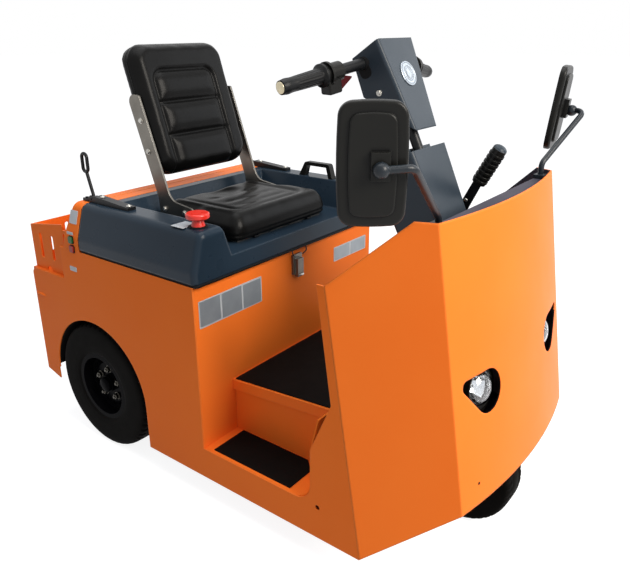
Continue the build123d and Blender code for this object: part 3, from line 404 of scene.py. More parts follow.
def turned(profile, centre, axis, sides=32):
    """Rows of a turned piece: each (radius, height) in mm of the profile becomes a circle of
    sides points about the axis, at that height along it."""
    side, up, axis = frame_of(axis)
    profile = np.asarray(profile, float) * MM
    turn = np.arange(sides) / sides * 2 * math.pi
    spokes = np.cos(turn)[:, None] * side + np.sin(turn)[:, None] * up
    return np.asarray(centre) + profile[:, :1, None] * spokes + profile[:, 1:, None] * axis


def bolt(face, axis, washer, head):
    """A round washer and a six-sided head on it, from their profiles."""
    return [turned(washer, face, axis, 24), turned(head, face, axis, 6)]


PLATE_EDGE = 0.15


def plate(centre, axis, width, height, corner, thick, towards=UP):
    """Rows of a thin plate in mm: its outline at the back, near the front, and smaller in front."""
    side, up, axis = frame_of(axis, towards)
    rows = []
    for share, inset in ((0.0, 0.0), (1.0 - PLATE_EDGE, 0.0), (1.0, PLATE_EDGE * thick)):
        flat = rounded_outline(width - 2 * inset, height - 2 * inset, corner) * MM
        rows.append(np.asarray(centre) + flat[:, :1] * side + flat[:, 1:] * up + share * thick * MM * axis)
    return np.stack(rows)


def carried(path, radius, sides, towards=UP):
    """Rows of a round wire: a circle square to the path at each of its points; radius may vary."""
    path = np.asarray(path, float)
    ahead = np.gradient(path, axis=0)
    ahead /= np.linalg.norm(ahead, axis=1)[:, None]
    side = np.cross(ahead, np.asarray(towards, float))
    side /= np.linalg.norm(side, axis=1)[:, None]
    up = np.cross(side, ahead)
    turn = np.arange(sides) / sides * 2 * math.pi
    circle = np.cos(turn)[None, :, None] * side[:, None] + np.sin(turn)[None, :, None] * up[:, None]
    return path[:, None] + np.reshape(radius, (-1, 1, 1)) * circle


def smooth_path(corners, count, rounding=0.25):
    """Points along straight runs whose corners are cut by parabolas: each point is a mean of the
    run's own point and its neighbours within the rounding, as a share of one run."""
    corners = np.asarray(corners, float)
    runs = np.arange(len(corners))
    at = np.linspace(0, len(corners) - 1, count)
    spread = np.linspace(-rounding, rounding, 9)
    reach = np.clip(at[:, None] + spread[None], 0, len(corners) - 1)
    smoothed = np.stack([np.interp(reach, runs, corners[:, k]).mean(1) for k in range(3)], -1)
    smoothed[0] = corners[0]
    smoothed[-1] = corners[-1]
    return smoothed


def dome(radius, height, foot=0.0):
    """Profile of a low dome: a quarter of an ellipse from the rim up to the middle."""
    turn = np.linspace(0, math.pi / 2 - 0.12, 6)
    return [(radius, -foot)] + [(radius * math.cos(a), height * math.sin(a)) for a in turn]


# The fields' edges carry a painted highlight.
plate_grey = coated("anodised_aluminium_plate", "8F979E", "99A1A8", patch=40.0, roughness=0.42,
                    peel=(0.6, 0.006), edge=0.4, edge_highlight="B4BAC0", metallic=0.35)
plate_pale = coated("printed_plate_border", "B6BCC0", "C0C5C9", patch=30.0, roughness=0.45,
                    peel=(0.6, 0.004), edge=0.3)
rivet_steel = coated("zinc_plated_rivet", "B4B2AC", "C6C4BE", patch=8.0, roughness=0.30, peel=(0.5, 0.01),
                     edge=0.5, metallic=1.0)
black_gasket = coated("black_nitrile_gasket", "0E0E0F", "131314", patch=20.0, roughness=0.6,
                      peel=(0.8, 0.02), edge=0.8, shine=0.1)
WALL_X = 461.0
FIELD_X = WALL_X + 0.9

# Each wall plate: name, y, z, width, height and its fields, each with y, z, width and height.
WALL_PLATES = (
    ("near", -271.5, 568.0, 242.0, 77.0,
     ((-352.5, 569.0, 74.0, 70.0), (-271.0, 568.0, 76.0, 70.0), (-191.0, 567.0, 72.0, 70.0))),
    ("far", 292.0, 574.0, 184.0, 48.0, ((246.0, 574.0, 84.0, 42.0), (338.0, 574.0, 84.0, 42.0))),
)
for name, plate_y, plate_z, width, height, fields in WALL_PLATES:
    skin(f"{name}_wall_plate", [plate(spot(WALL_X, plate_y, plate_z), FORWARD, width, height, 3.0, 1.0)],
         plate_pale, smooth=False)
    skin(f"{name}_wall_plate_fields",
         [plate(spot(FIELD_X, y, z), FORWARD, across, tall, 2.0, 0.6) for y, z, across, tall in fields],
         plate_grey, smooth=False)
skin("wall_plate_rivets",
     [turned(dome(2.2, 1.4), spot(FIELD_X, y, z), FORWARD, 16)
      for y in (-389.5, -153.5) for z in (603.5, 532.5)], rivet_steel)

BEAD_START = -291.0
BEAD_END = -244.0
BEAD_RADIUS = 5.0
BEAD_Y = 409.6
BEAD_Z = 459.0
bead_x = np.linspace(BEAD_START, BEAD_END, 24)
bead_swell = BEAD_RADIUS * MM * np.sin(np.linspace(0.12, math.pi - 0.12, 24)) ** 0.4
skin("tail_beads",
     [carried(spot(0, side * BEAD_Y, BEAD_Z) + np.outer(bead_x * MM, FORWARD), bead_swell, 12)
      for side in (-1, 1)], powder_coat)


def on_surface(node, place):
    """The nearest point of a CAD node's surface and the direction that it faces there."""
    _, nearest, outwards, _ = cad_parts[node].closest_point_on_mesh(Vector(place))
    return np.array(nearest), np.array(outwards)


# A rubber plug in the apron, dark backs behind the two lashing holes that paint the shade inside
# them, and a bare label plate on the shoulder of the bulkhead, which follows the sheet's slope.
plug_at, plug_facing = on_surface("apron", spot(1203, -254, 304))
plug = turned([(3.4, -1), (3.4, 0.6), (2.4, 1.3), (0.8, 1.0)], plug_at, plug_facing, 20)
skin("apron_blind_plug", [plug], black_gasket)
LASHING_X = 857.0
LASHING_Y = 405.0
LASHING_Z = 169.0
hole_shade_backs = [turned([(9.0, 0), (9.0, 1.0), (2.0, 1.1)], spot(LASHING_X, side * LASHING_Y, LASHING_Z),
                     (0, side, 0), 24) for side in (-1, 1)]
# The backs' dark brown is painted shade.
painted_hole_shade = coated("painted_hole_shade", "4A1606", "521A08", patch=40.0, roughness=0.6, peel=(3.0, 0.012),
                       edge=1.0, shine=0.0)
skin("lashing_hole_shade_backs", hole_shade_backs, painted_hole_shade)
shoulder_at, shoulder_facing = on_surface("rear_bulkhead", spot(-50, -408, 753))
skin("shoulder_label_plate", [plate(shoulder_at, shoulder_facing, 36.0, 40.0, 2.0, 0.8)],
     plate_pale, smooth=False)


# Rear bulkhead fittings on the right: two square inching buttons, green above red, in rubber
# gaskets, with a blank plate above them and one below.
def cover_below(material, height, over):
    """Cover a material's colour with another below a height in metres."""
    tree = material.node_tree
    here = add(tree, "SeparateXYZ", links={"Vector": add(tree, "TexCoord").outputs["Object"]})
    below = add(tree, "Math", {1: height}, {0: here.outputs["Z"]}, operation="LESS_THAN")
    shader = next(node for node in tree.nodes if node.type == "BSDF_PRINCIPLED")
    under = shader.inputs["Base Color"].links[0].from_socket
    tree.links.new(colour_over(tree, below.outputs[0], under, over), shader.inputs["Base Color"])


BUTTON_X = -50.0
BUTTON_Y = -410.0
BUTTON_HEIGHTS = (655.0, 683.0)
BUTTON_RED = "97231A"
button_plastic = coated("moulded_button_plastic", "1B5A2E", "1F6434", patch=20.0, roughness=0.35,
                        peel=(0.8, 0.01), edge=1.2, shine=0.3)
cover_below(button_plastic, sum(BUTTON_HEIGHTS) / 2 * MM, BUTTON_RED)
finish(button_plastic, "inching_buttons")
skin("button_label_plates",
     [plate(spot(BUTTON_X - 3, BUTTON_Y, 703.0), RIGHT, 30.0, 9.0, 1.5, 0.8),
      plate(spot(BUTTON_X - 10, BUTTON_Y, 590.0), RIGHT, 34.0, 15.0, 2.0, 0.8)],
     plate_pale, smooth=False)
skin("button_gaskets",
     [plate(spot(BUTTON_X, BUTTON_Y, z), RIGHT, 22.0, 24.0, 5.0, 2.0) for z in BUTTON_HEIGHTS],
     black_gasket)

# Rubber mats on floor and steps: black sheet rubber with a fine pimpled face, glued flat. Pimples
# of 4 mm spacing are drawn, the finest that still show.
PIMPLE_SPACING = 4.0


def pimples(tree, normal):
    """Round pimples on a square spacing: the product of two sine waves, as a bump."""
    here = add(tree, "SeparateXYZ", links={"Vector": add(tree, "TexCoord").outputs["Object"]})
    waves = []
    for axis in ("X", "Y"):
        phase = add(tree, "Math", {1: 2 * math.pi / (PIMPLE_SPACING * MM)}, {0: here.outputs[axis]},
                    operation="MULTIPLY")
        waves.append(add(tree, "Math", links={0: phase.outputs[0]}, operation="SINE").outputs[0])
    bumps = add(tree, "Math", links={0: waves[0], 1: waves[1]}, operation="MULTIPLY")
    return dented(tree, bumps.outputs[0], 0.25, normal)


# The mat's edges carry a painted highlight.
mat_rubber = coated("black_sheet_rubber", "0B0A09", "0F0E0D", patch=90.0, roughness=0.72,
                    peel=(1.5, 0.05), edge=1.0, edge_highlight="22201E", edge_highlight_share=0.4, shine=0.05, ior=1.52,
                    relief=pimples)
finish(mat_rubber, "floor_mats")

# Tyres: moulded rubber with a bulging side wall, raised rings beside the bead, and a tread of
# square shoulder lugs between grooves. Rubber dulls to a deep grey black in patches, and a painted
# highlight lightens its edges.
tyre_rubber = coated("black_tyre_rubber", "0E0D0C", "131211", patch=70.0, roughness=0.62,
                     peel=(2.2, 0.06), edge=1.2, edge_highlight="1A1918", edge_highlight_share=0.3, shine=0.015,
                     ior=1.52)
WIDEST_SHARE = 0.42
RING_HEIGHT = 1.1
RING_WIDTH = 1.6
RING_PLACES = np.array([16.0, 22.0, 30.0])
SLOT_FROM = 0.36
STEPS_PER_LUG = 8
SIDE_POWER = 0.8
CROWN_POWERS = (0.42, 0.36)
SHOULDER_SHARES = (0.56, 0.93)
SHOULDER_DEPTH = 9
STRIPE_SHARE = 0.42
STRIPE_HALF_WIDTH = 2.6
STRIPE_DEPTH = 6


def tyre_rows(radius, width, bead_radius, bead_half, lugs, groove):
    """Rows of a tyre about the y axis through its centre. Across, the side is a quarter cosine from
    the bead out to the widest point, the crown is a superellipse over it. Each point is then moved:
    outwards by three narrow rings on the side, and inwards where a groove or a gap between two lugs
    runs."""
    half = width / 2
    widest = bead_radius + (radius - bead_radius) * WIDEST_SHARE
    low = np.linspace(0, math.pi / 2, 12)
    side_u = bead_half + (half - bead_half) * np.sin(low) ** SIDE_POWER
    side_v = bead_radius + (widest - bead_radius) * (1 - np.cos(low))
    high = np.linspace(0.03, math.pi / 2, 30)
    crown_u = half * np.cos(high) ** CROWN_POWERS[0]
    crown_v = widest + (radius - widest) * np.sin(high) ** CROWN_POWERS[1]
    u = np.concatenate([side_u, crown_u])
    v = np.concatenate([side_v, crown_v])
    rings = np.exp(-((v[:, None] - bead_radius - RING_PLACES) / RING_WIDTH) ** 2).sum(1)
    u = np.minimum(u + RING_HEIGHT * rings * (u > bead_half + 1), half)
    u = np.concatenate([-u, u[-2::-1]])
    v = np.concatenate([v, v[-2::-1]])
    turn = np.linspace(0, 2 * math.pi, lugs * STEPS_PER_LUG, endpoint=False)
    slot = np.abs((turn * lugs / (2 * math.pi)) % 1 - 0.5) > SLOT_FROM
    inner, outer = SHOULDER_SHARES
    shoulder = (np.abs(u) > half * inner) & (np.abs(u) < half * outer) & (v > radius - SHOULDER_DEPTH)
    from_stripe = np.abs(np.abs(u) - half * STRIPE_SHARE)
    stripe = (from_stripe < STRIPE_HALF_WIDTH) & (v > radius - STRIPE_DEPTH)
    cut = groove * np.maximum(shoulder[:, None] & slot[None], stripe[:, None])
    out = v[:, None] - cut
    across = np.broadcast_to(u[:, None], out.shape)
    return np.stack([out * np.cos(turn), across, out * np.sin(turn)], -1) * MM


TYRE_CLEARANCE = 0.2


def fit_tyre(name, node, body, **sizes):
    """A tyre that stands for a CAD tyre, at that node's middle."""
    low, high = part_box(node)
    middle = (np.array(low) + np.array(high)) / 2
    radius = (high.z - low.z) / 2 / MM - TYRE_CLEARANCE
    made = skin(name, [middle + tyre_rows(radius, **sizes)], tyre_rubber, body, ring=True)
    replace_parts(made, node)


for side in ("left", "right"):
    fit_tyre(f"rear_tyre_tread_{side}", f"rear_tyre_{side}", f"rear_wheel_{side}", width=106.0,
             bead_radius=104.3, bead_half=43.8, lugs=52, groove=3.0)
fit_tyre("front_tyre_tread", "front_tyre", "front_wheel", width=98.0, bead_radius=88.3, bead_half=40.0,
         lugs=40, groove=2.0)

# Rims and forks: pressed steel discs and welded plate in black enamel, with plated wheel nuts. The
# rims' gloss shows thin sharp highlights and the fork's satin broad ones, and a painted highlight
# lightens the edges of both, drawing thin light lines on the rims' lips.
gloss_black = coated("gloss_black_paint", "08080A", "0C0C0E", patch=120.0, roughness=0.20,
                     peel=(2.5, 0.012), edge=1.4, edge_highlight="32353A", edge_highlight_share=0.3, shine=0.012)
black_paint = coated("satin_black_paint", "0F1012", "15171A", patch=120.0, roughness=0.34,
                     peel=(2.0, 0.02), edge=1.2, edge_highlight="2C2E34", edge_highlight_share=0.4, shine=0.2)
finish(gloss_black, "rear_rim_left", "rear_rim_right", "front_rim")
finish(black_paint, "battery_tray", "front_fork", "handlebar", "hinge_straps", "hinge_bases",
       "parking_lever", "release_rod", "brake_pedal", "steering_shaft")
# The plated steel and the nuts carry a painted highlight on their edges.
zinc = coated("zinc_plated_steel", "6C6862", "7E7A73", patch=60.0, roughness=0.38, peel=(0.8, 0.01),
              edge=1.0, edge_highlight="C8C4BC", metallic=1.0)
nut_steel = coated("phosphated_steel_nut", "45433E", "55524C", patch=14.0, roughness=0.34,
                   peel=(0.6, 0.02), edge=0.8, edge_highlight="8A867E", edge_highlight_share=0.4, metallic=1.0)
NUT_COUNT = 5
NUT_CIRCLE = 48.0
NUT_FACE = 17.0
CAP_FACE = 31.0
TRACK_Y = 355.0
AXLE_Z = 207.5
nut_turns = np.radians(360 / NUT_COUNT * np.arange(NUT_COUNT) + 18)
for side, name in ((-1, "right"), (1, "left")):
    outward = np.array([0.0, side, 0.0])
    shells = []
    for angle in nut_turns:
        centre = spot(-side * NUT_CIRCLE * math.cos(angle), side * (TRACK_Y + NUT_FACE),
                      AXLE_Z + NUT_CIRCLE * math.sin(angle))
        shells += bolt(centre, outward, [(12.5, 0), (12.5, 2.2), (9.8, 2.4)],
                       [(9.8, 1), (9.8, 10.6), (8.4, 12), (4, 12)])
        shells.append(turned([(4.8, 10), (4.8, 15.5), (3.9, 16.5)], centre, outward, 16))
    skin(f"wheel_nuts_{name}", shells, nut_steel, f"rear_wheel_{name}", smooth=False)
    cap_foot = spot(0, side * (TRACK_Y + CAP_FACE), AXLE_Z)
    skin(f"hub_cap_{name}", [turned([(24, 0), (24, 10), (21, 13), (8, 14)], cap_foot, outward)],
         gloss_black, f"rear_wheel_{name}")

# Hood: a thick moulded cover in dark slate plastic with soft corners, on a rubber seal. Its face is
# half glossy and shows the lamps as soft patches. It opens backwards on two black steel hinges.
# The paler slate on the soft corners is a painted highlight.
hood_plastic = coated("slate_moulded_cover", "1D2A36", "22303D", patch=200.0, roughness=0.28,
                      peel=(1.6, 0.006), edge=7.0, edge_highlight="3A4754", edge_highlight_share=0.35, shine=0.16,
                      ior=1.49)
finish(hood_plastic, "hood")

# Deck strip: a thin sheet in the body's coat on the rear edge of the hood, between the hinges,
# where the photograph shows that colour.
STRIP_X = 6.5
STRIP_DEPTH = 41.0
STRIP_WIDTH = 650.0
hood_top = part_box("hood")[1].z / MM
skin("rear_deck_strip",
     [plate(spot(STRIP_X, 0.0, hood_top - 0.8), UP, STRIP_DEPTH, STRIP_WIDTH, 3.0, 1.5, towards=RIGHT)],
     powder_coat, "hood", smooth=False)

# Seal: a square cord of black nitrile rubber all round the hood's foot. A blank label plate lies on
# the hood beside the seat.
SEAL_X = 230.0
SEAL_LENGTH = 494.0
SEAL_WIDTH = 817.0
SEAL_LOW = 650.6
SEAL_HIGH = 657.6
SEAL_OUT = 0.9975
SEAL_IN = 0.988
around = rounded_outline(SEAL_LENGTH, SEAL_WIDTH, 8.0, 80)
seal_rows = [np.column_stack([axle_x + (SEAL_X + around[:, 0] * grow) * MM, around[:, 1] * grow * MM,
                              np.full(len(around), z * MM)])
             for z, grow in ((SEAL_LOW, SEAL_IN), (SEAL_LOW, SEAL_OUT), (SEAL_HIGH, SEAL_OUT),
                             (SEAL_HIGH, SEAL_IN))]
skin("hood_seal", [np.stack(seal_rows)], black_gasket, "hood", ring=True)
skin("hood_label_plate", [plate(spot(384.0, -352.0, 790.0), UP, 46.0, 52.0, 3.0, 0.8, towards=RIGHT)],
     plate_pale, "hood", smooth=False)

# Hinge bolts: two plated dome bolts hold each strap to the hood, and two small black hexagon bolts
# hold its base to the body.
HINGE_Y = 340.0
hinge_bolts = []
for side in (-1, 1):
    for ahead, rise in ((146, 799.7), (28, 808.2)):
        face = spot(ahead, side * HINGE_Y, rise)
        hinge_bolts.append(turned([(7.5, 0), (7.5, 2), (5.5, 2.1)], face, UP, 24))
        hinge_bolts.append(turned(dome(5.5, 6.0, -2.0), face, UP, 24))
skin("hinge_front_bolts", hinge_bolts, rivet_steel, "hood")
base_bolts = [turned([(4.5, 0), (4.5, 3), (3.8, 3.8), (2, 3.8)], spot(-40, side * HINGE_Y + shift, 798.8),
                     UP, 6) for side in (-1, 1) for shift in (-7, 7)]
skin("hinge_base_bolts", base_bolts, black_paint, smooth=False)

# Draw latch: a folded lever on the wall pulls a loop of black spring wire over a hook on the hood.
# The lever is zinc plated steel, a warm grey metal with a painted highlight on its folds.
finish(zinc, "seat_frame", "draw_latch", "coupling_pin")
LATCH_Y = 5.0
wire_black = coated("black_spring_wire", "0F0F10", "171718", patch=20.0, roughness=0.35, peel=(1.0, 0.01),
                    edge=0.5, shine=0.2)
loop_corners = ((474, -17, 628), (478, -32, 638), (472, -29, 651), (470, -12, 653), (470, 12, 653),
                (472, 36, 651), (478, 32, 638), (474, 17, 628))
loop = smooth_path([spot(x, LATCH_Y + y, z) for x, y, z in loop_corners], 60)
skin("latch_wire_loop", [carried(loop, 1.9 * MM, 12, FORWARD)], wire_black)
skin("latch_lever_lip", [plate(spot(482, LATCH_Y, 569), FORWARD, 25.0, 6.0, 2.0, 1.5)],
     rivet_steel)

# Stop button and grab handle: plastic mouldings screwed to the hood. The red one is glossy, and the
# black ones have a fine grain that spreads highlights. Both carry a painted highlight on their edges,
# and the black ones painted shade in their inner corners.
red_plastic = coated("red_moulded_plastic", "D8281C", "E03022", patch=60.0, roughness=0.28,
                     peel=(1.5, 0.01), edge=1.5, edge_highlight="F06050", edge_highlight_share=0.3)
finish(red_plastic, "emergency_stop")
black_moulding = coated("black_moulded_plastic", "141413", "191917", patch=90.0, roughness=0.32,
                        peel=(1.2, 0.02), edge=1.5, edge_highlight="3A3A37", shine=0.17, groove=9.0)
finish(black_moulding, "switch_blocks", "grab_handle", "mirror_housings", "parking_lever_grip", "battery",
       "headlamps")
stop_collar = turned([(26, 0), (26, 1.6), (22, 2.4), (19.4, 2.5)], spot(424, -340, 790.2), UP, 40)
skin("stop_button_collar", [stop_collar], black_gasket, "hood")


# Seat: vinyl over foam, pulled down by sewn channels into pads, with a raised border round the
# backrest. Both pads are blown up from the blocks they fill and keep clear of the steel straps.
# The vinyl is near black and shines softly where its creased grain is stretched.
GRAIN_SIZE = 2.4


def leather_grain(tree, normal):
    """Creased grain: cells about 2.4 mm across whose borders are pressed in, coarser than real."""
    here = add(tree, "TexCoord")
    cells = add(tree, "TexVoronoi", {"Scale": 1 / (GRAIN_SIZE * MM), "Randomness": 1.0},
                {"Vector": here.outputs["Object"]}, feature="DISTANCE_TO_EDGE")
    border = add(tree, "MapRange", {"From Max": 0.25}, {"Value": cells.outputs["Distance"]})
    return dented(tree, border.outputs[0], 0.05, normal)


vinyl = coated("black_grained_vinyl", "0B0B0B", "101010", patch=80.0, roughness=0.30, peel=(14.0, 0.12),
               edge=3.0, shine=0.10, relief=leather_grain)
VOXEL = 0.006
SHRINK = 0.001
PUFF = 0.007
GIVE = 0.001
WELD = 0.00005
CLOTH_FRAMES = 20
PRESSURE = 4.0
RELAX_ROUNDS = 14


def points_of(mesh):
    """The mesh's points as an array."""
    flat = np.empty(len(mesh.vertices) * 3)
    mesh.vertices.foreach_get("co", flat)
    return flat.reshape(-1, 3)


def set_points(mesh, points):
    """Put an array of points back into the mesh."""
    mesh.vertices.foreach_set("co", np.asarray(points).ravel())
    mesh.update()


def bake_modifiers(made):
    """Turn an object's modified shape into its own mesh and drop the modifiers."""
    graph = bpy.context.evaluated_depsgraph_get()
    shaped = bpy.data.meshes.new_from_object(made.evaluated_get(graph))
    made.modifiers.clear()
    made.data = shaped


def foam(made):
    """Blow the object up as cloth with air inside, each point held between GIVE inwards and PUFF
    outwards of where it was."""
    start = points_of(made.data)
    outwards = np.array([vertex.normal for vertex in made.data.vertices])
    cloth = made.modifiers.new("foam", "CLOTH")
    cloth.settings.quality = 4
    cloth.settings.mass = 0.3
    cloth.settings.use_pressure = True
    cloth.settings.uniform_pressure_force = PRESSURE
    cloth.settings.effector_weights.gravity = 0.0
    cloth.point_cache.frame_start = 1
    cloth.point_cache.frame_end = CLOTH_FRAMES
    for number in range(1, CLOTH_FRAMES + 1):
        bpy.context.scene.frame_set(number)
    bake_modifiers(made)
    bpy.context.scene.frame_set(1)
    swelling = ((points_of(made.data) - start) * outwards).sum(1)
    set_points(made.data, start + outwards * np.clip(swelling, -GIVE, PUFF)[:, None])


def blown(name, node):
    """A padded copy of a CAD block: shrunk about its middle, remeshed, blown up, then smoothed and
    subdivided once."""
    made = bpy.data.objects.new(name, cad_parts[node].data.copy())
    bpy.context.scene.collection.objects.link(made)
    work = bmesh.new()
    work.from_mesh(made.data)
    bmesh.ops.remove_doubles(work, verts=work.verts, dist=WELD)
    work.to_mesh(made.data)
    work.free()
    low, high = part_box(node)
    middle = (np.array(low) + np.array(high)) / 2
    size = np.array(high) - np.array(low)
    place = points_of(made.data)
    set_points(made.data, middle + (place - middle) * (1 - 2 * SHRINK / size))
    remesh = made.modifiers.new("voxels", "REMESH")
    remesh.mode = "VOXEL"
    remesh.voxel_size = VOXEL
    bake_modifiers(made)
    foam(made)
    relax = made.modifiers.new("relax", "SMOOTH")
    relax.factor = 0.5
    relax.iterations = RELAX_ROUNDS
    finer = made.modifiers.new("finer", "SUBSURF")
    finer.levels = finer.render_levels = 1
    bake_modifiers(made)
    made.data.polygons.foreach_set("use_smooth", [True] * len(made.data.polygons))
    made.data.materials.clear()
    made.data.materials.append(vinyl)
    return made


def upholster(pad, node, points):
    """Give a pad its shaped points and say which CAD block it stands for."""
    set_points(pad.data, points)
    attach(pad, "hood")
    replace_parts(pad, node)


def valley(distance, width):
    """A smooth channel across a distance: 1 in its middle and 0 beyond a few widths."""
    return np.exp(-(distance / width) ** 2)


def box_distance(across, along, half_across, half_along, corner):
    """Distance from the outline of a rounded rectangle, below 0 inside it."""
    q_across = np.abs(across) - half_across + corner
    q_along = np.abs(along) - half_along + corner
    outside = np.hypot(np.maximum(q_across, 0), np.maximum(q_along, 0))
    return outside + np.minimum(np.maximum(q_across, q_along), 0) - corner


BACK_TILT = math.radians(18.0)
BACK_MIDDLE = spot(40.0, 0.0, 1042.0)
BACK_SHIFT = -5.0
BACK_DROP = 6.0
BACK_HALF_WIDTH = 182.0
BACK_HALF_HEIGHT = 193.0
BACK_CORNER = 62.0
BACK_ROLL = 15.0
BACK_ROLL_WIDTH = 34.0
FRONT_DEPTH = 14.0
REAR_ROLL_SHARE = -0.3
FRONT_BLEND = 10.0
PANEL_SHIFT = -10.0
PANEL_DROP = 102.0
PANEL_HALF_WIDTH = 118.0
PANEL_HALF_HEIGHT = 203.0
PANEL_CORNER = 34.0
PANEL_SINK = 3.0
BACK_SEAMS = (8.0, -90.0)
BACK_SEAM_WIDTH = 6.0
BACK_SEAM_DEPTH = 6.5
BACK_OUTLINE_DEPTH = 7.0
BACK_BLEND = 4.0
PAD_MARGIN = 19.0
PAD_RISE = 9.0
EDGE_SEAM_WIDTH = 2.2
EDGE_SEAM_DEPTH = 1.8
EDGE_SEAM_SHIFT = 4.0
EDGE_SEAM_REACH = 12.0


def backrest_points(start):
    """Points of the backrest in mm of depth, height and width. The block is stretched to the
    outline, its corners are drawn in to circles, and the front edge rolls back with the square of
    the nearness to the rim. On the front the panel's outline and two seams sink as valleys
    exp(-(d / w)^2) and the pads between them rise. A thin seam runs round the side."""
    facing = np.array([math.cos(BACK_TILT), 0.0, math.sin(BACK_TILT)])
    rising = np.array([-math.sin(BACK_TILT), 0.0, math.cos(BACK_TILT)])
    deep = (start - BACK_MIDDLE) @ facing / MM
    tall = (start - BACK_MIDDLE) @ rising / MM
    wide = start[:, 1] / MM
    tall = tall * BACK_HALF_HEIGHT / np.abs(tall).max()
    wide = wide * BACK_HALF_WIDTH / np.abs(wide).max()
    past_wide = np.abs(wide) - BACK_HALF_WIDTH + BACK_CORNER
    past_tall = np.abs(tall) - BACK_HALF_HEIGHT + BACK_CORNER
    past = np.hypot(past_wide, past_tall)
    keep = np.where((past_wide > 0) & (past_tall > 0) & (past > BACK_CORNER), BACK_CORNER / past, 1.0)
    wide = np.sign(wide) * (np.abs(wide) - past_wide * (1 - keep))
    tall = np.sign(tall) * (np.abs(tall) - past_tall * (1 - keep)) - BACK_DROP
    rim = -box_distance(wide, tall + BACK_DROP, BACK_HALF_WIDTH, BACK_HALF_HEIGHT, BACK_CORNER)
    rolled = BACK_ROLL * np.clip(1 - rim / BACK_ROLL_WIDTH, 0.0, 1.0) ** 2
    deep -= np.clip(deep / FRONT_DEPTH, REAR_ROLL_SHARE, 1.0) * rolled
    in_front = np.clip(deep / FRONT_BLEND, 0.0, 1.0)
    panel = box_distance(wide - PANEL_SHIFT, tall + PANEL_DROP, PANEL_HALF_WIDTH, PANEL_HALF_HEIGHT,
                         PANEL_CORNER)
    inside = 1 / (1 + np.exp(panel / BACK_BLEND))
    sink = BACK_OUTLINE_DEPTH * valley(panel, BACK_SEAM_WIDTH) + PANEL_SINK * inside
    rise = np.ones(len(start))
    for seam_at in BACK_SEAMS:
        sink += BACK_SEAM_DEPTH * valley(tall - seam_at, BACK_SEAM_WIDTH) * inside
        rise *= 1 - valley(tall - seam_at, PAD_MARGIN)
    sink -= PAD_RISE * inside * (rise * (1 - valley(panel, PAD_MARGIN)))
    near_rim = np.clip(1 - rim / EDGE_SEAM_REACH, 0.0, 1.0)
    edge_seam = EDGE_SEAM_DEPTH * valley(deep + EDGE_SEAM_SHIFT, EDGE_SEAM_WIDTH) * near_rim
    shrunk = 1 - edge_seam / np.maximum(np.hypot(wide, tall), 1.0)
    deep -= sink * in_front
    points = BACK_MIDDLE + np.outer(deep * MM, facing) + np.outer(tall * shrunk * MM, rising)
    points[:, 1] += (wide * shrunk + BACK_SHIFT) * MM
    return points


back = blown("seat_backrest_pad", "seat_backrest")
upholster(back, "seat_backrest", backrest_points(points_of(back.data)))

CUSHION_X = 282.0
CUSHION_HALF = 145.0
CUSHION_CORNER = 40.0
CUSHION_TOP_Z = 735.0
CUSHION_SEAM_Z = 727.0
CUSHION_ROLL = 16.0
CUSHION_ROLL_WIDTH = 36.0
CUSHION_REACH = 30.0
CUSHION_TOP_BLEND = 20.0
CUSHION_BLEND = 7.0
CUSHION_OUTLINE_DEPTH = 4.0
CUSHION_OUTLINE_WIDTH = 11.0
TOP_PANEL_X = 262.0
TOP_PANEL_HALF_WIDTH = 142.0
TOP_PANEL_HALF_LENGTH = 112.0
CUSHION_SEAMS = (234.0, 284.0, 334.0)
CUSHION_SEAM_DEPTH = 2.6
CUSHION_SEAM_WIDTH = 12.0
CUSHION_SEAM_END = 118.0
CUSHION_SEAM_FADE = 40.0
DIMPLE_X = 194.0
DIMPLE_HALF_LENGTH = 34.0
DIMPLE_HALF_WIDTH = 58.0
DIMPLE_DEPTH = 10.0
END_FROM = 135.0
SIDE_FROM = 150.0


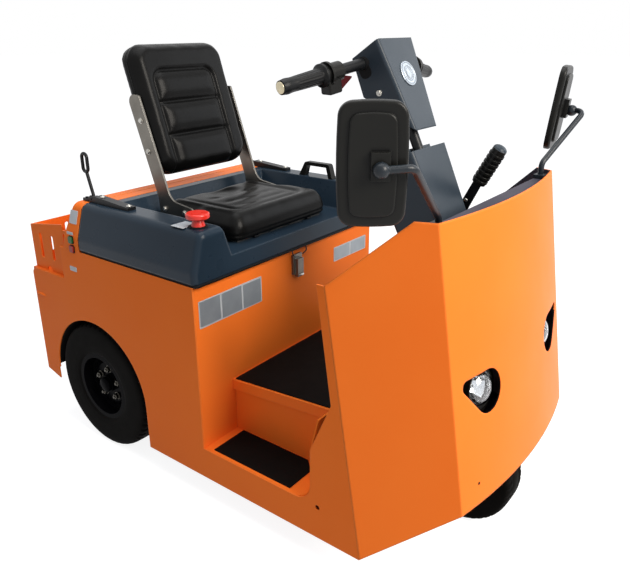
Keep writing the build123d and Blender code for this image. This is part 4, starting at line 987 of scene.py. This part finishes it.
def cushion_points(start):
    """Points of the cushion in mm ahead, width and height. The top's edge rolls down with the
    square of the nearness to the rim. On the top the panel's outline and three seams sink as
    valleys, and a dimple exp(-r^4) lies behind them. A thin seam runs round the sides, and the
    rear half is drawn back."""
    points = start.copy()
    ahead = (start[:, 0] - axle_x) / MM
    wide = start[:, 1] / MM
    height = start[:, 2] / MM
    top = np.clip((height - CUSHION_TOP_Z) / CUSHION_TOP_BLEND, 0.0, 1.0)
    middle = (ahead.max() + ahead.min()) / 2
    rim = -box_distance(wide, ahead - middle, np.abs(wide).max(), (ahead.max() - ahead.min()) / 2,
                        CUSHION_CORNER)
    panel = box_distance(wide, ahead - TOP_PANEL_X, TOP_PANEL_HALF_WIDTH, TOP_PANEL_HALF_LENGTH,
                         PANEL_CORNER)
    inside = 1 / (1 + np.exp(panel / CUSHION_BLEND))
    sink = CUSHION_OUTLINE_DEPTH * valley(panel, CUSHION_OUTLINE_WIDTH) + PANEL_SINK * inside
    sink += CUSHION_ROLL * np.clip(1 - rim / CUSHION_ROLL_WIDTH, 0.0, 1.0) ** 2
    within = np.clip((CUSHION_SEAM_END - np.abs(wide)) / CUSHION_SEAM_FADE, 0, 1)
    for seam_at in CUSHION_SEAMS:
        sink += CUSHION_SEAM_DEPTH * valley(ahead - seam_at, CUSHION_SEAM_WIDTH) * inside * within
    dimple = np.hypot((ahead - DIMPLE_X) / DIMPLE_HALF_LENGTH, wide / DIMPLE_HALF_WIDTH)
    sink += DIMPLE_DEPTH * np.exp(-dimple ** 4)
    points[:, 2] -= sink * top * MM
    on_end = np.sign(ahead - CUSHION_X) * (np.abs(ahead - CUSHION_X) > END_FROM)
    on_side = np.sign(wide) * (np.abs(wide) > SIDE_FROM)
    outward = np.column_stack([on_end, on_side, np.zeros(len(wide))])
    edge_seam = valley(height - CUSHION_SEAM_Z, EDGE_SEAM_WIDTH) * EDGE_SEAM_DEPTH
    points -= outward * (edge_seam * MM)[:, None]
    points[:, 0] -= CUSHION_REACH * MM * np.clip((CUSHION_X - ahead) / CUSHION_HALF, 0.0, 1.0)
    return points


cushion = blown("seat_cushion_pad", "seat_cushion")
upholster(cushion, "seat_cushion", cushion_points(points_of(cushion.data)))
rails = [plate(spot(300.0, y, 708.5), UP, 250.0, 22.0, 3.0, 4.0, towards=RIGHT) for y in (-120.0, 120.0)]
skin("seat_slide_rails", rails, black_paint, "hood", smooth=False)

STRAP_FACE_Y = 192.3
strap_bolts = []
for x, z in ((46, 1011), (67, 923), (121, 758), (207, 758)):
    for side in (-1, 1):
        strap_bolts += bolt(spot(x, side * STRAP_FACE_Y, z), (0, side, 0),
                            [(8.5, 0), (8.5, 1.4), (6.8, 1.5)], [(6.8, 1.4), (6.8, 5), (6, 5.8), (2, 5.8)])
skin("seat_strap_bolts", strap_bolts, rivet_steel, "hood", smooth=False)

# Steering column: a folded cover and head in slate grey powder coat, with a disc of brushed
# aluminium on the head, which is pale and changes its brightness in small patches.
# The cover and head carry a painted highlight on their edges.
column_grey = coated("slate_grey_powder_coat", "28313A", "2E3740", patch=160.0, roughness=0.34,
                     peel=(2.0, 0.015), edge=3.5, edge_highlight="4C5660", edge_highlight_share=0.35, shine=0.2)
finish(column_grey, "column_cover", "steering_head")
# The mirror arms too carry a painted highlight on their edges.
arm_coat = coated("slate_black_powder_coat", "161C22", "1B2229", patch=60.0, roughness=0.34,
                  peel=(1.2, 0.015), edge=1.5, edge_highlight="343E48", edge_highlight_share=0.4, shine=0.3)
finish(arm_coat, "mirror_arms")
RAKE = math.radians(25.5)
COLUMN_FOOT_X = 1055.0
COLUMN_FOOT_Z = 580.0
AXIS = np.array([-math.sin(RAKE), 0.0, math.cos(RAKE)])
AHEAD = np.array([math.cos(RAKE), 0.0, math.sin(RAKE)])


def on_column(along, ahead=0.0, left=0.0):
    """Place along the leaning column from its foot joint, in mm, moved forward and to the left."""
    return spot(COLUMN_FOOT_X, left, COLUMN_FOOT_Z) + (along * AXIS + ahead * AHEAD) * MM


disc_profile = [(31, 0), (31, 1.8), (29.5, 2.6), (27.5, 2.6), (26.5, 1.6), (18, 2.0), (17, 2.8), (15, 2.8),
                (14, 2.0), (3, 2.6)]
brushed_disc = coated("brushed_aluminium_disc", "8E969E", "B4BAC0", patch=5.0, roughness=0.30,
                      peel=(0.8, 0.01), edge=0.8, metallic=1.0)
skin("head_disc", [turned(disc_profile, on_column(625, 41, 2), AHEAD, 48)], brushed_disc,
     "steering_head")

# Bars: each leaves the head through a rubber boot and carries a fluted rubber grip with a collar and
# a nickel plated end cap. A throttle tab in maroon plastic hangs before the grip. The left bar
# mirrors the right one.
BAR_ROOT = on_column(681, -18, 70)
BAR_END = spot(700, 318, 1146)
BAR_LENGTH = np.linalg.norm(BAR_END - BAR_ROOT)
MIRRORED = np.array([1.0, -1.0, 1.0])
# The grips, throttle tabs and end caps carry a painted highlight on their edges.
grip_rubber = coated("black_grip_rubber", "0F1011", "141517", patch=40.0, roughness=0.38,
                     peel=(1.0, 0.02), edge=0.8, edge_highlight="1E1F22", edge_highlight_share=0.25, shine=0.15,
                     ior=1.52)
maroon_plastic = coated("maroon_moulded_plastic", "3C1014", "461418", patch=30.0, roughness=0.4,
                        peel=(1.0, 0.02), edge=1.0, edge_highlight="602428", edge_highlight_share=0.4, shine=0.2)
nickel = coated("nickel_plated_end", "B5AA8E", "C4BAA0", patch=12.0, roughness=0.26, peel=(0.6, 0.01),
                edge=0.8, edge_highlight="E0D8C4", edge_highlight_share=0.4, metallic=1.0)
GRIP_LENGTH = 116.0
GRIP_OVERHANG = 8.0
GRIP_RADIUS = 15.6
GRIP_TAPER = 3.0
GRIP_BULGE = 1.6
BULGE_AT = 0.12
BULGE_WIDTH = 0.08
FLUTES = 16
FLUTE_DEPTH = 0.35
FLUTES_FROM = 0.30
FLUTES_TO = 0.9
COLLAR_FROM = 0.945
COLLAR_RADIUS = 26.6
TAB_CORNERS = ((140, 1162), (168, 1165), (160, 1126), (106, 1158), (140, 1162))
TAB_THICKNESS = (0, 1, 9, 10)
TAB_SHRINK = (0.94, 1.0, 1.0, 0.94)


def grip_rows(end, unit):
    """Rows of a grip from its end inwards: a cone with a soft bulge near the end, cosine flutes
    along its middle, and a plain collar at the inner end."""
    across, up, _ = frame_of(unit)
    run = np.linspace(0, 1, 60)
    turn = np.linspace(0, 2 * math.pi, FLUTES * 8, endpoint=False)
    barrel = GRIP_RADIUS + GRIP_TAPER * run + GRIP_BULGE * valley(run - BULGE_AT, BULGE_WIDTH)
    fluted = np.clip((run - FLUTES_FROM) / 0.05, 0, 1) * np.clip((FLUTES_TO - run) / 0.03, 0, 1)
    radius = barrel[:, None] + FLUTE_DEPTH * np.cos(FLUTES * turn)[None] * fluted[:, None]
    radius[run > COLLAR_FROM] = COLLAR_RADIUS
    along = end - np.outer((run * (GRIP_LENGTH + GRIP_OVERHANG) - GRIP_OVERHANG) * MM, unit)
    spokes = np.cos(turn)[:, None] * across + np.sin(turn)[:, None] * up
    return along[:, None] + radius[:, :, None] * MM * spokes


def tab_rows(foot_x, side):
    """Rows of a throttle tab: its outline, smaller at the two faces, laid along x."""
    corners = [(foot_x, side * y * MM, z * MM) for y, z in TAB_CORNERS]
    outline = smooth_path(corners, 33, 0.18)[:-1]
    middle = outline.mean(0)
    shrink = np.array(TAB_SHRINK)[:, None, None]
    back = np.array(TAB_THICKNESS)[:, None, None] * np.array([-1.0, 0.0, 0.0]) * MM
    return middle + (outline - middle)[None] * shrink + back


grips = []
caps = []
linings = []
boots = []
tabs = []
for side, mirror in ((-1, MIRRORED), (1, np.ones(3))):
    unit = (BAR_END - BAR_ROOT) / BAR_LENGTH * mirror
    end = BAR_END * mirror
    root = end - unit * (BAR_LENGTH - 1 * MM)
    entry, out_of_head = on_surface("steering_head", root - (AXIS * 11 + AHEAD * 4) * MM)
    grips.append(grip_rows(end, unit))
    caps.append(turned([(13.5, 0), (13.5, 2.4), (12.4, 3.0), (11, 2.4), (9, 3.4), (4, 3.9)],
                       end + 7.6 * MM * unit, unit, 32))
    boots.append(turned([(13.2, 0), (19, 0), (19, 1.5), (16, 3), (14.6, 10), (13.2, 10)], root, unit, 32))
    linings.append(plate(entry, out_of_head, 32.0, 48.0, 13.0, 0.7, towards=AXIS))
    tabs.append(tab_rows(root[0] - 8 * MM, side))
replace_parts(skin("bar_grips", grips, grip_rubber, "steering_head"), "handlebar_grips")
skin("bar_end_caps", caps, nickel, "steering_head")
skin("bar_entry_linings", linings, black_gasket, "steering_head", smooth=False)
skin("bar_boots", boots, black_gasket, "steering_head")
skin("throttle_tabs", tabs, maroon_plastic, "steering_head", smooth=False)
head_bolts = []
for side in (-1, 1):
    head_bolts += bolt(on_column(603, -10, side * 67.6), (0, side, 0.06),
                       [(8, 0), (8, 1.5), (6.4, 1.6)], [(6.4, 1.4), (6.4, 5), (5.6, 5.8), (2, 5.8)])
skin("head_side_bolts", head_bolts, rivet_steel, "steering_head", smooth=False)

# Parking lever: a flat black steel bar that turns on a bolt, with a moulded grip and a domed cap in
# the column's grey.
LEVER_TOP = spot(COLUMN_FOOT_X - 28, 110, 986)
LEVER_FOOT = spot(COLUMN_FOOT_X - 77, 110, 897)
lever_unit = (LEVER_TOP - LEVER_FOOT) / np.linalg.norm(LEVER_TOP - LEVER_FOOT)
skin("lever_end_dome", [turned([(17.5, -2)] + dome(17.5, 9.0), LEVER_TOP, lever_unit, 32)],
     column_grey)
skin("lever_pivot_bolts",
     [turned([(9, 0), (9, 2), (7, 2.2), (7, 6), (6, 7)], spot(908, 118.0, 769), (0, 1, 0), 6),
      turned(dome(5.0, 3.0), spot(949, 106.0, 848), RIGHT, 20)], rivet_steel)

# Mirrors: silvered glass in black moulded shells, on bent tubes in dark powder coat. The silvering
# is a nearly perfect metal, so the glass shows only what stands before it.
silvered = coated("silvered_glass", "DCE2E6", "E4E8EB", patch=60.0, roughness=0.06, peel=(5.0, 0.001),
                  edge=0.5, metallic=1.0)
finish(silvered, "mirror_glasses")


# Headlamps: a faceted bright reflector round a clear bulb, behind a domed lens, in a black bowl. The
# clear parts bend what lies behind them and show the lamps of the studio as small spots.
def clear(name, tint, roughness, ior):
    """Clear moulded glass or plastic."""
    material = empty_material(name)
    tree = material.node_tree
    normal = dented(tree, mottle(tree, 6.0, 1.0), 0.02)
    shader = add(tree, "BsdfPrincipled",
                 {"Base Color": linear(tint), "Roughness": roughness, "IOR": ior,
                  "Transmission Weight": 1.0}, {"Normal": normal})
    add(tree, "OutputMaterial", links={"Surface": shader.outputs[0]})
    return material


lens_clear = clear("clear_polycarbonate", "FBFDFF", 0.03, 1.58)
LAMP_X = 1151.0
LENS_RADIUS = 44.0
LENS_RISE = 27.0
LENS_WALL = 3.0
LENS_FOOT = -8.0


def lamp_place(side):
    """Middle of a headlamp's rim, and the way that it looks: forward, a little outwards and up."""
    return spot(LAMP_X, side * LAMP_Y, LAMP_Z), np.array([0.98, 0.12 * side, 0.15])


lens_turn = np.linspace(math.pi / 2, 0.002, 14)
inner_radius = LENS_RADIUS - LENS_WALL
outer_lens = [(LENS_RADIUS * math.sin(a), LENS_RISE * math.cos(a) - 4.0) for a in lens_turn]
inner_lens = [(inner_radius * math.sin(a), LENS_RISE * math.cos(a) - 7.0) for a in lens_turn[::-1]]
lens_profile = [(LENS_RADIUS, LENS_FOOT)] + outer_lens + inner_lens + [(inner_radius, LENS_FOOT)]
lenses = skin("headlamp_domed_lenses", [turned(lens_profile, *lamp_place(side), 48) for side in (-1, 1)],
              lens_clear, ring=True)
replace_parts(lenses, "headlamp_lenses")
reflector_chrome = coated("vapour_coated_reflector", "D8DADC", "E6E8EA", patch=30.0, roughness=0.12,
                          peel=(3.0, 0.004), edge=0.4, metallic=1.0)
bulb_glass = clear("clear_bulb_glass", "FFFFFF", 0.02, 1.5)
FACETS = 18
BOWL_DEPTH = np.linspace(-44.0, -11.5, 8)
BOWL_REACH = 43.0 * np.sqrt((BOWL_DEPTH + 48.0) / 36.5)
bowl_profile = list(zip(BOWL_REACH - 0.6, BOWL_DEPTH))
bowl_profile += list(zip(BOWL_REACH[::-1] + 0.4, BOWL_DEPTH[::-1] - 0.6))
bulb_profile = [(5, -46), (5, -34), (7.5, -28), (7, -22), (4, -18.5), (1, -17.5)]
bezel_ring = [(49.2, 2.1), (49.2, 3.6), (45.0, 3.9), (44.4, 0.5), (44.4, 0.0), (49.0, 0.0)]
dish_ring = [(48.0, -12.0), (66.0, -3.0), (68.0, -4.5), (48.0, -14.5)]
for side, name in ((-1, "right"), (1, "left")):
    centre, ray = lamp_place(side)
    skin(f"lamp_reflector_{name}", [turned(bowl_profile, centre, ray, FACETS)], reflector_chrome,
         smooth=False, ring=True)
    skin(f"lamp_bulb_{name}", [turned(bulb_profile, centre, ray, 24)], bulb_glass)
    skin(f"lamp_bezel_{name}", [turned(bezel_ring, centre, ray, 48), turned(dish_ring, centre, ray, 48)],
         black_moulding, ring=True)

# Running gear behind and below: a painted cast axle and a welded coupling with its turned pin. Cast
# iron keeps a coarse skin under the paint, and the bolts are zinc plated.
# The cast parts carry a painted highlight on their edges.
cast_iron = coated("painted_cast_iron", "1A1A1B", "232324", patch=50.0, roughness=0.6, peel=(2.5, 0.3),
                   edge=2.0, edge_highlight="38383A", edge_highlight_share=0.4, shine=0.2)
finish(cast_iron, "rear_axle", "tow_coupling")
plate_bolts = []
for y in (-66, 66):
    for z in (268, 392):
        plate_bolts += bolt(spot(-307, y, z), (-1, 0, 0), [(12, 0), (12, 2), (9.5, 2.2)],
                            [(9.5, 2), (9.5, 8), (8.4, 9.4), (3, 9.4)])
skin("coupling_plate_bolts", plate_bolts, zinc, smooth=False)
MOTOR_FACE_X = 249.5
MOTOR_Y = -60.0
COVER_CIRCLE = 58.0
cover_bolts = [turned([(6, 0), (6, 5), (5.2, 6), (2, 6)],
                      spot(MOTOR_FACE_X, MOTOR_Y + COVER_CIRCLE * math.cos(angle),
                           AXLE_Z + COVER_CIRCLE * math.sin(angle)), FORWARD, 6)
               for angle in np.radians(np.arange(0, 360, 60))]
skin("motor_end_bolts", cover_bolts, zinc, smooth=False)
